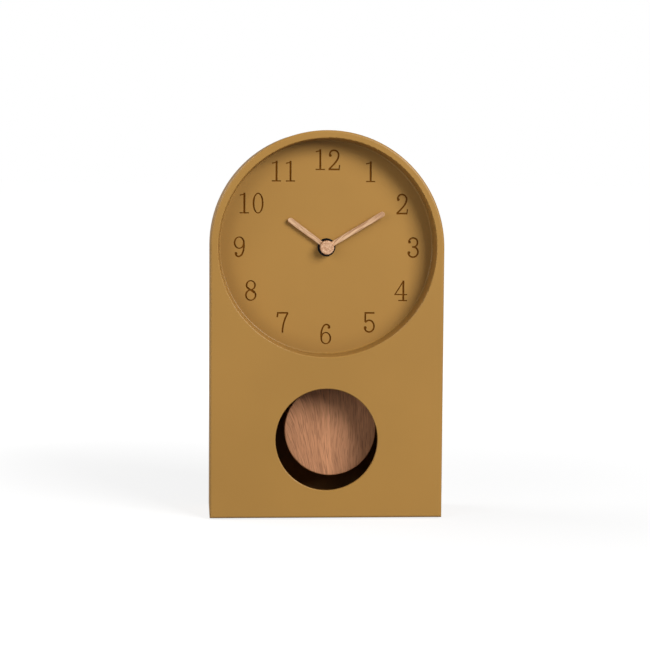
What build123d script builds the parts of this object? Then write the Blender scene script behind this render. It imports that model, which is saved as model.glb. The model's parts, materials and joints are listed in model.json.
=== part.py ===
from build123d import *
import os
from math import cos, isclose, pi, radians, sin

# Desk pendulum clock. Millimetres, X to the right, Y to the back, Z up.
# The origin is on the table, under the middle of the case. A depth is counted from the front face.

# Case shell
case_width = 180.0
case_height = 299.0
case_depth = 70.0
wall = 2.5
edge_rounding = 1.8
pad_height = 1.0
pad_radius = 6.0
pad_inset = 14.0

# Sunk dial
rim_width = 6.0
recess_depth = 17.0
recess_draft = 1.2
recess_rounding = 1.0
rim_rounding = 0.8
cup_wall = 4.0
dial_thickness = 2.5

# Numerals
numeral_height = 16.0
digit_width = 8.4
digit_pitch = 10.8
stem_width = 1.5
stroke_width = 1.3
hairline_width = 0.9
ball_radius = 1.1
numeral_inset = 16.5
numeral_depth = 0.8

# Pendulum window
window_radius = 39.5
window_drop = 1.5
window_rounding = 0.6

# Rear cover, its bosses and screws
cover_thickness = 2.5
cover_inset = 2.0
cover_gap = 0.3
access_width = 72.0
access_margin = 5.0
access_rounding = 6.0
access_lip = 2.0
access_lip_depth = 3.0
boss_radius = 4.0
boss_length = 20.0
boss_embed = 0.8
arch_boss_angle = 50.0
side_boss_drop = 100.0
screw_radius = 1.5
screw_head_radius = 2.9
screw_length = 12.0
slot_width = 0.9
slot_depth = 0.9
countersink = 45.0

# Fits
fit = 0.05
running_fit = 0.06
face_gap = 0.3
same_place = 1e-4

# Hands, counted clockwise from twelve
hour_angle = 306.4
minute_angle = 58.9
hour_length = 37.0
hour_root_width = 3.2
hour_tip_width = 4.2
minute_length = 52.0
minute_root_width = 3.8
minute_tip_width = 4.1
hand_thickness = 1.4
hand_hub_radius = 4.6
hand_rounding = 0.4
hand_gap = 0.6
hand_clearance = 0.25
hand_bush_wall = 0.8
hand_bush_flange = 0.3
hand_bush_rim = 1.7
cap_thickness = 3.5
cap_radius = 5.4
cap_rounding = 0.9
cap_seat = 1.5

# Centre bush and what clamps the dial
bush_radius = 4.0
pipe_radius = 2.5
spindle_radius = 1.6
nut_radius = 7.0
nut_thickness = 1.0
nut_chamfer = 0.3
washer_thickness = 0.3
washer_radius = 6.5
gasket_thickness = 1.0
gasket_radius = 12.0

# Movement housing
tray_floor = 2.0
tray_wall = 1.5
tray_depth = 16.0
tray_rounding = 3.0
back_thickness = 1.5
post_radius = 2.0
post_embed = 0.4
housing_screw_radius = 0.8
housing_screw_head = 1.5
housing_screw_length = 7.0
pivot_depth = 1.2
column_radius = 1.6

# Gear train
train_module = 0.5
seconds_module = 0.7
motor_module = 0.35
addendum = 0.9
dedendum = 1.2
tooth_tip_share = 0.1
tooth_root_share = 0.24
small_pinion_teeth = 8
intermediate_teeth = 48
seconds_teeth = 40
third_teeth = 60
centre_teeth = 64
cannon_teeth = 12
minute_teeth = 36
minute_pinion_teeth = 10
hour_teeth = 40
setting_teeth = 12
wheel_thickness = 1.0
layer_gap = 0.6
pinion_overlap = 0.2
arbor_radius = 0.6
end_play = 0.1
wheel_clearance = 1.4
third_bearing = 120.0
intermediate_bearing = 0.0
rotor_bearing = 60.0
minute_bearing = 180.0
setting_bearing = 205.0
cannon_radius = 1.8
centre_hub_radius = 3.2
stud_radius = 0.8
bridge_thickness = 1.2
bridge_gap = 1.0

# Setting knob
setting_radius = 1.25
knob_radius = 6.0
knob_thickness = 5.0
knob_notches = 24
knob_notch_radius = 0.5
knob_gap = 0.8

# Step motor
rotor_radius = 3.0
rotor_thickness = 2.0
stator_bore_gap = 0.6
stator_thickness = 1.0
stator_margin = 2.8
stator_leg = 3.8
coil_rise = 15.5
core_width = 2.4
core_thickness = 1.0
bobbin_radius = 3.0
bobbin_hub = 1.8
bobbin_flange = 0.8
bobbin_gap = 0.6
winding_radius = 2.8

# Circuit board
board_height = 8.6
board_thickness = 0.8
board_gap = 0.3
crystal_radius = 0.75
crystal_length = 6.0
crystal_offset = 10.0
chip_radius = 3.0
chip_height = 1.1
chip_rounding = 0.7

# Battery and its leaf contacts
battery_radius = 7.1
battery_length = 48.5
nub_radius = 2.75
nub_length = 1.5
battery_rounding = 0.6
battery_gap = 0.6
battery_lift = 0.1
contact_thickness = 0.4
contact_width = 6.2
contact_room = 3.5
contact_gap = 0.15
contact_drop = 6.0
contact_tip = 2.5

# Pendulum drive and pendulum
coil_radius = 7.0
coil_bore = 2.6
coil_thickness = 4.2
coil_top_margin = 8.0
coil_bottom_margin = 1.7
coil_cover_gap = 0.3
coil_seat_radius = 5.0
pin_radius = 1.0
pin_boss_radius = 2.5
pin_boss_length = 2.5
arm_drop = 10.5
arm_thickness = 1.8
arm_gap = 0.5
arm_eye_radius = 3.4
arm_paddle_radius = 6.0
arm_tail_width = 5.0
arm_tail_drop = 25.0
magnet_radius = 4.0
magnet_thickness = 1.3
peg_radius = 1.2
peg_length = 1.9
clip_radius = 2.4
clip_thickness = 0.6
rod_width = 4.0
rod_thickness = 1.2
rod_eye_radius = 3.2
rod_gap = 0.1
rod_overrun = 9.0
swing_at_rest = 2.5
bob_radius = 36.0
bob_depth = 27.0
bob_thickness = 11.0
bob_rounding = 1.0
bob_above_window = 4.0
bob_clip_width = 22.0
bob_clip_height = 14.0
bob_clip_wall = 1.0
bob_screw_spacing = 14.0
bob_screw_radius = 1.0
bob_screw_head = 2.0
bob_screw_length = 9.0
bob_screw_head_height = 0.8

# Places across the case
dial_centre = (0.0, pad_height + case_height - case_width / 2)
recess_radius = case_width / 2 - rim_width
dial_radius = recess_radius - recess_draft
field_top = dial_centre[1] - recess_radius
window_centre = (0.0, (pad_height + field_top) / 2 - window_drop)


def tip_radius(teeth, module):
    """Outer radius of a toothed wheel."""
    return teeth * module / 2 + addendum * module


def spacing(first_teeth, second_teeth, module):
    """Distance between the axes of two wheels in mesh."""
    return (first_teeth + second_teeth) * module / 2


def polar(centre, distance, bearing):
    """A point at a distance and a bearing, in degrees from +X, round a centre."""
    angle = radians(bearing)
    return (centre[0] + distance * cos(angle), centre[1] + distance * sin(angle))


third_distance = spacing(small_pinion_teeth, third_teeth, train_module)
centre_module = 2 * third_distance / (small_pinion_teeth + centre_teeth)
minute_distance = spacing(cannon_teeth, minute_teeth, train_module)
hour_module = 2 * minute_distance / (minute_pinion_teeth + hour_teeth)
intermediate_distance = spacing(small_pinion_teeth, seconds_teeth, seconds_module)
rotor_distance = spacing(small_pinion_teeth, intermediate_teeth, motor_module)
setting_distance = spacing(setting_teeth, minute_teeth, train_module)

third_axis = polar(dial_centre, third_distance, third_bearing)
intermediate_axis = polar(dial_centre, intermediate_distance, intermediate_bearing)
rotor_axis = polar(intermediate_axis, rotor_distance, rotor_bearing)
minute_axis = polar(dial_centre, minute_distance, minute_bearing)
setting_axis = polar(minute_axis, setting_distance, setting_bearing)

# Rooms of the movement housing, as heights above the table
train_bottom = dial_centre[1] - tip_radius(centre_teeth, centre_module) - wheel_clearance
train_top = third_axis[1] + tip_radius(third_teeth, train_module) + 2 * post_radius - wheel_clearance / 2
battery_top = train_bottom - tray_wall
battery_height = battery_top - battery_gap - battery_radius
battery_bottom = battery_height - battery_radius - battery_gap
drive_top = battery_bottom - tray_wall
coil_height = drive_top - coil_top_margin - coil_radius
drive_bottom = coil_height - coil_radius - coil_bottom_margin
housing_top = train_top + tray_wall
housing_bottom = drive_bottom - tray_wall
housing_half = (battery_length + nub_length) / 2 + contact_room
coil_centre = (0.0, coil_height)
pivot = (0.0, coil_height + arm_drop)
pendulum_length = pivot[1] - window_centre[1] - bob_above_window

# Depths, from the front face backwards
dial_back = recess_depth + dial_thickness
housing_front = dial_back + gasket_thickness
tray_inside = housing_front + tray_floor
back_front = housing_front + tray_depth
back_rear = back_front + back_thickness
layer_pitch = wheel_thickness + layer_gap
hour_layer = tray_inside + layer_gap
minute_layer = hour_layer + layer_pitch
centre_layer = minute_layer + layer_pitch
third_layer = centre_layer + layer_pitch
seconds_layer = third_layer + layer_pitch
intermediate_layer = seconds_layer + layer_pitch
bridge_front = intermediate_layer + layer_pitch
bridge_rear = bridge_front + bridge_thickness
board_rear = bridge_rear + board_thickness
pinion_length = wheel_thickness + 2 * pinion_overlap
arbor_front = tray_inside - pivot_depth + end_play
arbor_rear = bridge_rear - 2 * end_play
nut_front = recess_depth - washer_thickness - nut_thickness
bush_front = nut_front - end_play
hour_hand_back = bush_front - hand_clearance - hand_bush_flange
hour_hand_front = hour_hand_back - hand_thickness
minute_hand_back = hour_hand_front - hand_gap - hand_bush_flange
minute_hand_front = minute_hand_back - hand_thickness
cap_front = minute_hand_front - cap_thickness
pipe_front = hour_hand_front - hand_gap / 2
spindle_front = minute_hand_front - cap_seat
spindle_rear = third_layer - pinion_overlap - face_gap
cover_front = case_depth - cover_inset - cover_thickness
cover_rear = cover_front + cover_thickness
arm_front = back_rear + arm_gap
arm_rear = arm_front + arm_thickness
rod_front = arm_rear + rod_gap
rod_rear = rod_front + rod_thickness
bob_rear = bob_depth + bob_thickness


def plane_at(depth, centre=(0.0, 0.0), turn=0.0):
    """A plane that faces the front, turned anticlockwise as seen from the front."""
    across = (cos(radians(turn)), 0, sin(radians(turn)))
    origin = (centre[0], depth - case_depth / 2, centre[1])
    return Plane(origin=origin, x_dir=across, z_dir=(0, -1, 0))


def plane_across(x, depth, height):
    """A plane that faces right, with its own x axis running to the back."""
    return Plane(origin=(x, depth - case_depth / 2, height), x_dir=(0, 1, 0), z_dir=(1, 0, 0))


def arch(depth, inset):
    """The case outline, a square foot under a half circle, moved in by an inset."""
    radius = case_width / 2 - inset
    drop = dial_centre[1] - pad_height - inset
    with BuildSketch(plane_at(depth, dial_centre)) as outline:
        with BuildLine():
            Polyline((-radius, 0), (-radius, -drop), (radius, -drop), (radius, 0))
            ThreePointArc((radius, 0), (0, radius), (-radius, 0))
        make_face()
    return outline.sketch


def disc(depth, centre, radius, bore=0.0):
    """A round face, with a bore if one is given."""
    with BuildSketch(plane_at(depth, centre)) as profile:
        Circle(radius)
        if bore:
            Circle(bore, mode=Mode.SUBTRACT)
    return profile.sketch


def discs(depth, centres, radius):
    """Several equal round faces in one plane."""
    with BuildSketch(plane_at(depth)) as profile:
        with Locations(*centres):
            Circle(radius)
    return profile.sketch


def cross_slots(depth, centres, length):
    """Crossed driver slots on screw heads."""
    with BuildSketch(plane_at(depth)) as profile:
        with Locations(*centres):
            Rectangle(length, slot_width)
            Rectangle(slot_width, length)
    return profile.sketch


def panel(depth, left, right, bottom, top, rounding=0.0):
    """A rectangle between four sides, with rounded corners if a rounding is given."""
    middle = ((left + right) / 2, (bottom + top) / 2)
    with BuildSketch(plane_at(depth, middle)) as profile:
        if rounding:
            RectangleRounded(right - left, top - bottom, rounding)
        else:
            Rectangle(right - left, top - bottom)
    return profile.sketch


def wheel(depth, centre, teeth, module, turn=0.0):
    """A toothed outline with straight flanks, one tooth at its turn from +X."""
    root = teeth * module / 2 - dedendum * module
    tip = tip_radius(teeth, module)
    corners = (
        (root, -tooth_root_share),
        (tip, -tooth_tip_share),
        (tip, tooth_tip_share),
        (root, tooth_root_share),
    )
    points = []
    for tooth in range(teeth):
        for radius, share in corners:
            angle = 2 * pi * (tooth + share) / teeth
            points.append((radius * cos(angle), radius * sin(angle)))
    with BuildSketch(plane_at(depth, centre, turn)) as profile:
        Polygon(*points, align=None)
    return profile.sketch


def mesh_turn(driver_teeth, driver_turn, teeth, bearing):
    """Turn of a wheel whose gap faces its driver's tooth, the wheel lying at a bearing from the driver."""
    phase = driver_teeth * (bearing - driver_turn) / 360
    return bearing + 180 - 360 / teeth * (0.5 - phase)


def hand(depth, angle, length, root_width, tip_width):
    """A tapered stick with a rounded end and a round hub, at a clock angle."""
    with BuildSketch(plane_at(depth, dial_centre, 90 - angle)) as profile:
        Circle(root_width / 2)
        with Locations((length - tip_width / 2, 0)):
            Circle(tip_width / 2)
        make_hull()
        Circle(hand_hub_radius)
    return profile.sketch


def circles(builder, depth, radius):
    """Circular edges of one radius at one depth."""
    place = depth - case_depth / 2
    rings = builder.edges().filter_by(GeomType.CIRCLE)
    rings = rings.filter_by(lambda edge: isclose(edge.radius, radius, abs_tol=same_place))
    return rings.filter_by(lambda edge: isclose(edge.center().Y, place, abs_tol=same_place))


def save(builder, name):
    """Label a finished piece and write it."""
    builder.part.label = name
    export_step(builder.part, f"parts/{name}.step")


# Numeral strokes, drawn in shares of half the digit's width and height


def at(across, up):
    """A point of a digit, in shares of its half width and half height."""
    return (across * digit_width / 2, up * numeral_height / 2)


def ball(across, up):
    """A ball terminal, to be added to a digit."""
    with BuildSketch() as dot:
        with Locations(at(across, up)):
            Circle(ball_radius)
    return dot.sketch


def bar(start, end, width):
    """A straight stroke between two points."""
    with BuildSketch() as stroke:
        with BuildLine():
            Line(start, end)
        trace(line_width=width)
    return stroke.sketch


def bow(*arcs):
    """A curved stroke along three-point arcs that follow one another."""
    with BuildSketch() as stroke:
        with BuildLine():
            for start, middle, end in arcs:
                ThreePointArc(at(*start), at(*middle), at(*end))
        trace(line_width=stroke_width)
    return stroke.sketch


def hook(across, up, half_width, half_height, start, size):
    """A stroke along part of an oval, from an angle in degrees from +X and over an angular size."""
    with BuildSketch() as stroke:
        with BuildLine():
            EllipticalCenterArc(
                at(across, up),
                half_width * digit_width / 2,
                half_height * numeral_height / 2,
                start,
                arc_size=size,
            )
        trace(line_width=stroke_width)
    return stroke.sketch


def ring(up, half_width, half_height):
    """A closed oval stroke."""
    with BuildSketch() as oval:
        with Locations(at(0, up)):
            Ellipse(half_width * digit_width / 2, half_height * numeral_height / 2)
            Ellipse(
                half_width * digit_width / 2 - stroke_width,
                half_height * numeral_height / 2 - hairline_width,
                mode=Mode.SUBTRACT,
            )
    return oval.sketch


six_strokes = [
    hook(0.1, -0.1, 0.97, 1.03, 52, 148),
    ball(0.58, 0.64),
    ring(-0.4, 1.0, 0.6),
]
digit_strokes = {
    "0": [ring(0, 1.0, 1.0)],
    "1": [
        bar(at(0.05, 1.0), at(0.05, -1.0), stem_width),
        bar(at(-0.8, 0.76), at(0.05, 0.86), hairline_width),
        bar(at(-0.8, -0.94), at(0.9, -0.94), hairline_width),
    ],
    "2": [
        bow(
            ((-0.78, 0.4), (-0.74, 0.64), (-0.5, 0.83)),
            ((-0.5, 0.83), (0.4, 0.86), (0.86, 0.46)),
            ((0.86, 0.46), (0.7, 0.1), (0.3, -0.24)),
            ((0.3, -0.24), (-0.35, -0.62), (-0.9, -0.9)),
        ),
        ball(-0.68, 0.42),
        bar(at(-1.0, -0.93), at(1.0, -0.93), stroke_width),
        bar(at(0.93, -1.0), at(1.05, -0.5), hairline_width),
    ],
    "3": [
        hook(0, 0.49, 0.82, 0.44, -100, 270),
        hook(0, -0.44, 0.92, 0.49, -165, 265),
        ball(-0.68, 0.52),
        ball(-0.76, -0.5),
    ],
    "4": [
        bar(at(0.42, 1.0), at(0.42, -1.0), stem_width),
        bar(at(0.36, 0.9), at(-1.15, -0.37), hairline_width),
        bar(at(-1.25, -0.36), at(1.15, -0.36), hairline_width),
        bar(at(-0.5, -0.94), at(1.15, -0.94), hairline_width),
    ],
    "5": [
        bar(at(-0.85, 0.93), at(0.98, 0.93), stroke_width),
        bar(at(-0.73, 1.0), at(-0.73, 0.06), stroke_width),
        hook(0, -0.36, 0.9, 0.57, -160, 302),
        ball(-0.72, -0.5),
    ],
    "6": six_strokes,
    "7": [
        bar(at(-0.9, 0.92), at(1.05, 0.92), stroke_width),
        bar(at(-0.85, 1.0), at(-0.98, 0.5), stroke_width),
        bow(((0.98, 0.9), (0.3, 0.1), (0.0, -1.0))),
    ],
    "8": [
        ring(0.51, 0.93, 0.49),
        ring(-0.45, 1.05, 0.55),
        bar(at(-0.6, 0.28), at(0.66, -0.22), stroke_width),
    ],
    "9": [stroke.rotate(Axis.Z, 180) for stroke in six_strokes],
}

os.makedirs("parts", exist_ok=True)

# Case shell with the dial sunk into it

boss_offset = wall + boss_radius - boss_embed
boss_x = case_width / 2 - boss_offset
boss_points = [
    polar(dial_centre, boss_x, arch_boss_angle),
    polar(dial_centre, boss_x, 180 - arch_boss_angle),
]
for boss_height in (dial_centre[1] - side_boss_drop, pad_height + boss_offset):
    boss_points.append((-boss_x, boss_height))
    boss_points.append((boss_x, boss_height))

with BuildPart() as front_shell:
    extrude(arch(0, 0), amount=-case_depth)
    fillet(front_shell.faces().sort_by(Axis.Y)[0].edges(), edge_rounding)
    extrude(arch(wall, wall), amount=-case_depth, mode=Mode.SUBTRACT)
    extrude(disc(wall, dial_centre, recess_radius + cup_wall), amount=-(dial_back - wall))
    with Locations(plane_at(recess_depth / 2, dial_centre)):
        Cone(dial_radius, recess_radius, recess_depth, mode=Mode.SUBTRACT)
    fillet(circles(front_shell, recess_depth, dial_radius), recess_rounding)
    fillet(circles(front_shell, 0, recess_radius), rim_rounding)
    extrude(disc(0, window_centre, window_radius), amount=-wall, mode=Mode.SUBTRACT)
    fillet(circles(front_shell, 0, window_radius), window_rounding)
    extrude(disc(0, dial_centre, bush_radius + fit), amount=-dial_back, mode=Mode.SUBTRACT)
    extrude(discs(cover_front - boss_length, boss_points, boss_radius), amount=-boss_length)
    extrude(
        discs(cover_rear - screw_length - end_play, boss_points, screw_radius + fit),
        amount=-(screw_length + end_play),
        mode=Mode.SUBTRACT,
    )
    with BuildSketch(plane_at(recess_depth, dial_centre)):
        for hour in range(1, 13):
            hour_place = polar((0, 0), recess_radius - numeral_inset, 90 - 30 * hour)
            digits = str(hour)
            for index, digit in enumerate(digits):
                shift = digit_pitch * (index - (len(digits) - 1) / 2)
                with Locations((hour_place[0] + shift, hour_place[1])):
                    add(digit_strokes[digit])
    extrude(amount=-numeral_depth, mode=Mode.SUBTRACT)
save(front_shell, "front_shell")

# Rear cover with its opening for the battery and the knob

access_top = housing_top + access_margin
access_bottom = pivot[1] - arm_tail_drop - access_margin
head_depth = screw_head_radius - screw_radius

with BuildPart() as rear_cover:
    extrude(arch(cover_front, wall + cover_gap), amount=-cover_thickness)
    extrude(
        panel(
            cover_front - access_lip_depth,
            -access_width / 2 - access_lip,
            access_width / 2 + access_lip,
            access_bottom - access_lip,
            access_top + access_lip,
            access_rounding + access_lip,
        ),
        amount=-access_lip_depth,
    )
    extrude(
        panel(
            cover_front - access_lip_depth,
            -access_width / 2,
            access_width / 2,
            access_bottom,
            access_top,
            access_rounding,
        ),
        amount=-(access_lip_depth + cover_thickness),
        mode=Mode.SUBTRACT,
    )
    extrude(discs(cover_front, boss_points, screw_radius + fit), amount=-cover_thickness, mode=Mode.SUBTRACT)
    extrude(
        discs(cover_rear, boss_points, screw_head_radius + fit),
        amount=head_depth,
        taper=countersink,
        mode=Mode.SUBTRACT,
    )
save(rear_cover, "rear_cover")

with BuildPart() as rear_cover_screws:
    extrude(discs(cover_rear, boss_points, screw_head_radius), amount=head_depth, taper=countersink)
    extrude(discs(cover_rear, boss_points, screw_radius), amount=screw_length)
    extrude(cross_slots(cover_rear, boss_points, 2 * screw_radius), amount=slot_depth, mode=Mode.SUBTRACT)
save(rear_cover_screws, "rear_cover_screws")

with BuildPart() as foot_pads:
    with BuildSketch(Plane.XY):
        with GridLocations(case_width - 2 * pad_inset, case_depth - 2 * pad_inset, 2, 2):
            Circle(pad_radius)
    extrude(amount=pad_height)
save(foot_pads, "foot_pads")

# What clamps the movement to the dial

with BuildPart() as dial_gasket:
    extrude(disc(dial_back, dial_centre, gasket_radius, bush_radius + fit), amount=-gasket_thickness)
save(dial_gasket, "dial_gasket")

with BuildPart() as dial_washer:
    extrude(
        disc(recess_depth - washer_thickness, dial_centre, washer_radius, bush_radius + fit),
        amount=-washer_thickness,
    )
save(dial_washer, "dial_washer")

with BuildPart() as dial_nut:
    extrude(disc(nut_front, dial_centre, nut_radius, bush_radius + fit), amount=-nut_thickness)
    chamfer(circles(dial_nut, nut_front, nut_radius), nut_chamfer)
save(dial_nut, "dial_nut")

with BuildPart() as centre_bush:
    extrude(
        disc(bush_front, dial_centre, bush_radius, pipe_radius + running_fit),
        amount=-(tray_inside - bush_front),
    )
save(centre_bush, "centre_bush")

# Hands

hour_bush_radius = pipe_radius + fit + hand_bush_wall
minute_bush_radius = spindle_radius + fit + hand_bush_wall

with BuildPart() as hour_hand:
    extrude(
        hand(hour_hand_front, hour_angle, hour_length, hour_root_width, hour_tip_width),
        amount=-hand_thickness,
    )
    fillet(hour_hand.faces().sort_by(Axis.Y)[0].edges(), hand_rounding)
    extrude(
        disc(hour_hand_front, dial_centre, hour_bush_radius + fit),
        amount=-hand_thickness,
        mode=Mode.SUBTRACT,
    )
save(hour_hand, "hour_hand")

with BuildPart() as hour_hand_bush:
    extrude(disc(hour_hand_front, dial_centre, hour_bush_radius), amount=-hand_thickness)
    extrude(disc(hour_hand_back, dial_centre, pipe_radius + hand_bush_rim), amount=-hand_bush_flange)
    extrude(
        disc(hour_hand_front, dial_centre, pipe_radius + fit),
        amount=-(hand_thickness + hand_bush_flange),
        mode=Mode.SUBTRACT,
    )
save(hour_hand_bush, "hour_hand_bush")

with BuildPart() as minute_hand:
    extrude(
        hand(minute_hand_front, minute_angle, minute_length, minute_root_width, minute_tip_width),
        amount=-hand_thickness,
    )
    fillet(minute_hand.faces().sort_by(Axis.Y)[0].edges(), hand_rounding)
    extrude(
        disc(minute_hand_front, dial_centre, minute_bush_radius + fit),
        amount=-hand_thickness,
        mode=Mode.SUBTRACT,
    )
save(minute_hand, "minute_hand")

with BuildPart() as minute_hand_bush:
    extrude(disc(minute_hand_front, dial_centre, minute_bush_radius), amount=-hand_thickness)
    extrude(disc(minute_hand_back, dial_centre, spindle_radius + hand_bush_rim), amount=-hand_bush_flange)
    extrude(
        disc(minute_hand_front, dial_centre, spindle_radius + fit),
        amount=-(hand_thickness + hand_bush_flange),
        mode=Mode.SUBTRACT,
    )
save(minute_hand_bush, "minute_hand_bush")

with BuildPart() as hand_cap:
    extrude(disc(cap_front, dial_centre, cap_radius), amount=-cap_thickness)
    fillet(circles(hand_cap, cap_front, cap_radius), cap_rounding)
    extrude(
        disc(spindle_front - end_play, dial_centre, spindle_radius + fit),
        amount=-(cap_seat + end_play),
        mode=Mode.SUBTRACT,
    )
save(hand_cap, "hand_cap")

# Movement housing

post_inset = post_radius - post_embed
post_x = housing_half - post_inset
post_points = []
for post_height in (train_top - post_inset, drive_bottom + post_inset):
    post_points.append((-post_x, post_height))
    post_points.append((post_x, post_height))

stator_left = third_axis[0] + tip_radius(third_teeth, train_module) + wheel_clearance
stator_right = housing_half - end_play
stator_top = rotor_axis[1] + coil_rise + core_width
coil_z = rotor_axis[1] + coil_rise
left_leg_x = stator_left + stator_leg / 2
right_leg_x = stator_right - stator_leg / 2
stator_bore = rotor_radius + stator_bore_gap
stator_bottom = rotor_axis[1] - stator_bore - stator_margin
stator_shoulder = rotor_axis[1] + stator_bore + stator_margin
stator_inner = rotor_axis[0] - stator_bore - stator_margin

bridge_half = housing_half - bridge_gap
bridge_bottom = train_bottom + board_gap
bridge_top = train_top - 2 * post_radius - board_gap
intermediate_bottom = intermediate_axis[1] - tip_radius(intermediate_teeth, motor_module)
setting_bottom = setting_axis[1] - tip_radius(setting_teeth, train_module)
column_points = [
    (-bridge_half + column_radius, bridge_top - 2 * column_radius),
    (stator_left - 2 * column_radius, bridge_top - column_radius),
    (bridge_half - column_radius, intermediate_bottom - column_radius),
    (-bridge_half + column_radius, setting_bottom - 2 * column_radius),
]
stator_points = [
    (left_leg_x, coil_z),
    (right_leg_x, coil_z),
    (right_leg_x, rotor_axis[1] - stator_bore),
]
train_axes = [third_axis, intermediate_axis, rotor_axis]
coil_front = back_front - coil_cover_gap - coil_thickness
contact_front = board_rear - contact_width

with BuildPart() as movement_tray:
    extrude(
        panel(
            housing_front,
            -housing_half - tray_wall,
            housing_half + tray_wall,
            housing_bottom,
            housing_top,
            tray_rounding,
        ),
        amount=-tray_depth,
    )
    for room_bottom, room_top in (
        (train_bottom, train_top),
        (battery_bottom, battery_top),
        (drive_bottom, drive_top),
    ):
        extrude(
            panel(tray_inside, -housing_half, housing_half, room_bottom, room_top),
            amount=-tray_depth,
            mode=Mode.SUBTRACT,
        )
    extrude(discs(tray_inside, post_points, post_radius), amount=-(back_front - tray_inside))
    extrude(discs(tray_inside, column_points, column_radius), amount=-(bridge_front - tray_inside))
    extrude(discs(tray_inside, stator_points, column_radius), amount=-(third_layer - tray_inside))
    extrude(
        disc(tray_inside, minute_axis, stud_radius),
        amount=-(minute_layer + wheel_thickness - tray_inside),
    )
    extrude(disc(tray_inside, coil_centre, coil_seat_radius), amount=-(coil_front - tray_inside))
    extrude(disc(coil_front, coil_centre, coil_bore - fit), amount=-(coil_thickness - end_play))
    extrude(disc(housing_front, dial_centre, bush_radius + fit), amount=-tray_floor, mode=Mode.SUBTRACT)
    extrude(
        discs(tray_inside - pivot_depth, train_axes, arbor_radius + running_fit),
        amount=-pivot_depth,
        mode=Mode.SUBTRACT,
    )
    extrude(
        disc(tray_inside - pivot_depth, setting_axis, setting_radius + running_fit),
        amount=-pivot_depth,
        mode=Mode.SUBTRACT,
    )
    extrude(
        discs(back_rear - housing_screw_length - end_play, post_points, housing_screw_radius + fit),
        amount=-(housing_screw_length + end_play),
        mode=Mode.SUBTRACT,
    )
    for slot_left in (-housing_half, housing_half - 2 * contact_thickness):
        extrude(
            panel(
                contact_front - end_play,
                slot_left,
                slot_left + 2 * contact_thickness,
                battery_top,
                train_bottom,
            ),
            amount=-tray_depth,
            mode=Mode.SUBTRACT,
        )
save(movement_tray, "movement_tray")

housing_head_depth = housing_screw_head - housing_screw_radius

with BuildPart() as movement_back:
    extrude(
        panel(
            back_front,
            -housing_half - tray_wall,
            housing_half + tray_wall,
            housing_bottom,
            housing_top,
            tray_rounding,
        ),
        amount=-back_thickness,
    )
    extrude(
        panel(
            back_front,
            -housing_half + tray_wall,
            housing_half - tray_wall,
            battery_bottom + battery_gap / 2,
            battery_top - battery_gap / 2,
            tray_wall,
        ),
        amount=-back_thickness,
        mode=Mode.SUBTRACT,
    )
    extrude(
        disc(back_front - pin_boss_length, pivot, pin_boss_radius),
        amount=-(pin_boss_length + back_thickness),
    )
    extrude(
        disc(back_front - pin_boss_length, pivot, pin_radius + fit),
        amount=-tray_depth,
        mode=Mode.SUBTRACT,
    )
    extrude(
        disc(back_front, setting_axis, setting_radius + running_fit),
        amount=-back_thickness,
        mode=Mode.SUBTRACT,
    )
    extrude(
        discs(back_front, post_points, housing_screw_radius + fit),
        amount=-back_thickness,
        mode=Mode.SUBTRACT,
    )
    extrude(
        discs(back_rear, post_points, housing_screw_head + fit),
        amount=housing_head_depth,
        taper=countersink,
        mode=Mode.SUBTRACT,
    )
save(movement_back, "movement_back")

with BuildPart() as movement_screws:
    extrude(discs(back_rear, post_points, housing_screw_head), amount=housing_head_depth, taper=countersink)
    extrude(discs(back_rear, post_points, housing_screw_radius), amount=housing_screw_length)
    extrude(
        cross_slots(back_rear, post_points, 2 * housing_screw_radius),
        amount=housing_head_depth,
        mode=Mode.SUBTRACT,
    )
save(movement_screws, "movement_screws")

with BuildPart() as train_bridge:
    extrude(
        panel(bridge_front, -bridge_half, bridge_half, bridge_bottom, bridge_top),
        amount=-bridge_thickness,
    )
    extrude(
        discs(bridge_front, train_axes + [dial_centre], arbor_radius + running_fit),
        amount=-bridge_thickness,
        mode=Mode.SUBTRACT,
    )
    extrude(
        disc(bridge_front, setting_axis, setting_radius + face_gap),
        amount=-bridge_thickness,
        mode=Mode.SUBTRACT,
    )
save(train_bridge, "train_bridge")

# Going train, from the step motor to the centre wheel

intermediate_turn = mesh_turn(small_pinion_teeth, 0, intermediate_teeth, rotor_bearing + 180)
seconds_turn = mesh_turn(small_pinion_teeth, 0, seconds_teeth, intermediate_bearing + 180)
third_turn = mesh_turn(small_pinion_teeth, 0, third_teeth, third_bearing)
centre_turn = mesh_turn(small_pinion_teeth, 0, centre_teeth, third_bearing + 180)

with BuildPart() as rotor_pinion:
    extrude(disc(arbor_front, rotor_axis, arbor_radius), amount=-(arbor_rear - arbor_front))
    extrude(
        wheel(intermediate_layer - pinion_overlap, rotor_axis, small_pinion_teeth, motor_module),
        amount=-pinion_length,
    )
save(rotor_pinion, "rotor_pinion")

rotor_front = third_layer + stator_thickness / 2 - rotor_thickness / 2

with BuildPart() as rotor_magnet:
    extrude(disc(rotor_front, rotor_axis, rotor_radius, arbor_radius + fit), amount=-rotor_thickness)
save(rotor_magnet, "rotor_magnet")

with BuildPart() as intermediate_wheel:
    extrude(disc(arbor_front, intermediate_axis, arbor_radius), amount=-(arbor_rear - arbor_front))
    extrude(
        wheel(seconds_layer - pinion_overlap, intermediate_axis, small_pinion_teeth, seconds_module),
        amount=-(pinion_length + layer_gap),
    )
    extrude(
        wheel(intermediate_layer, intermediate_axis, intermediate_teeth, motor_module, intermediate_turn),
        amount=-wheel_thickness,
    )
save(intermediate_wheel, "intermediate_wheel")

seconds_front = spindle_rear - pivot_depth

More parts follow.
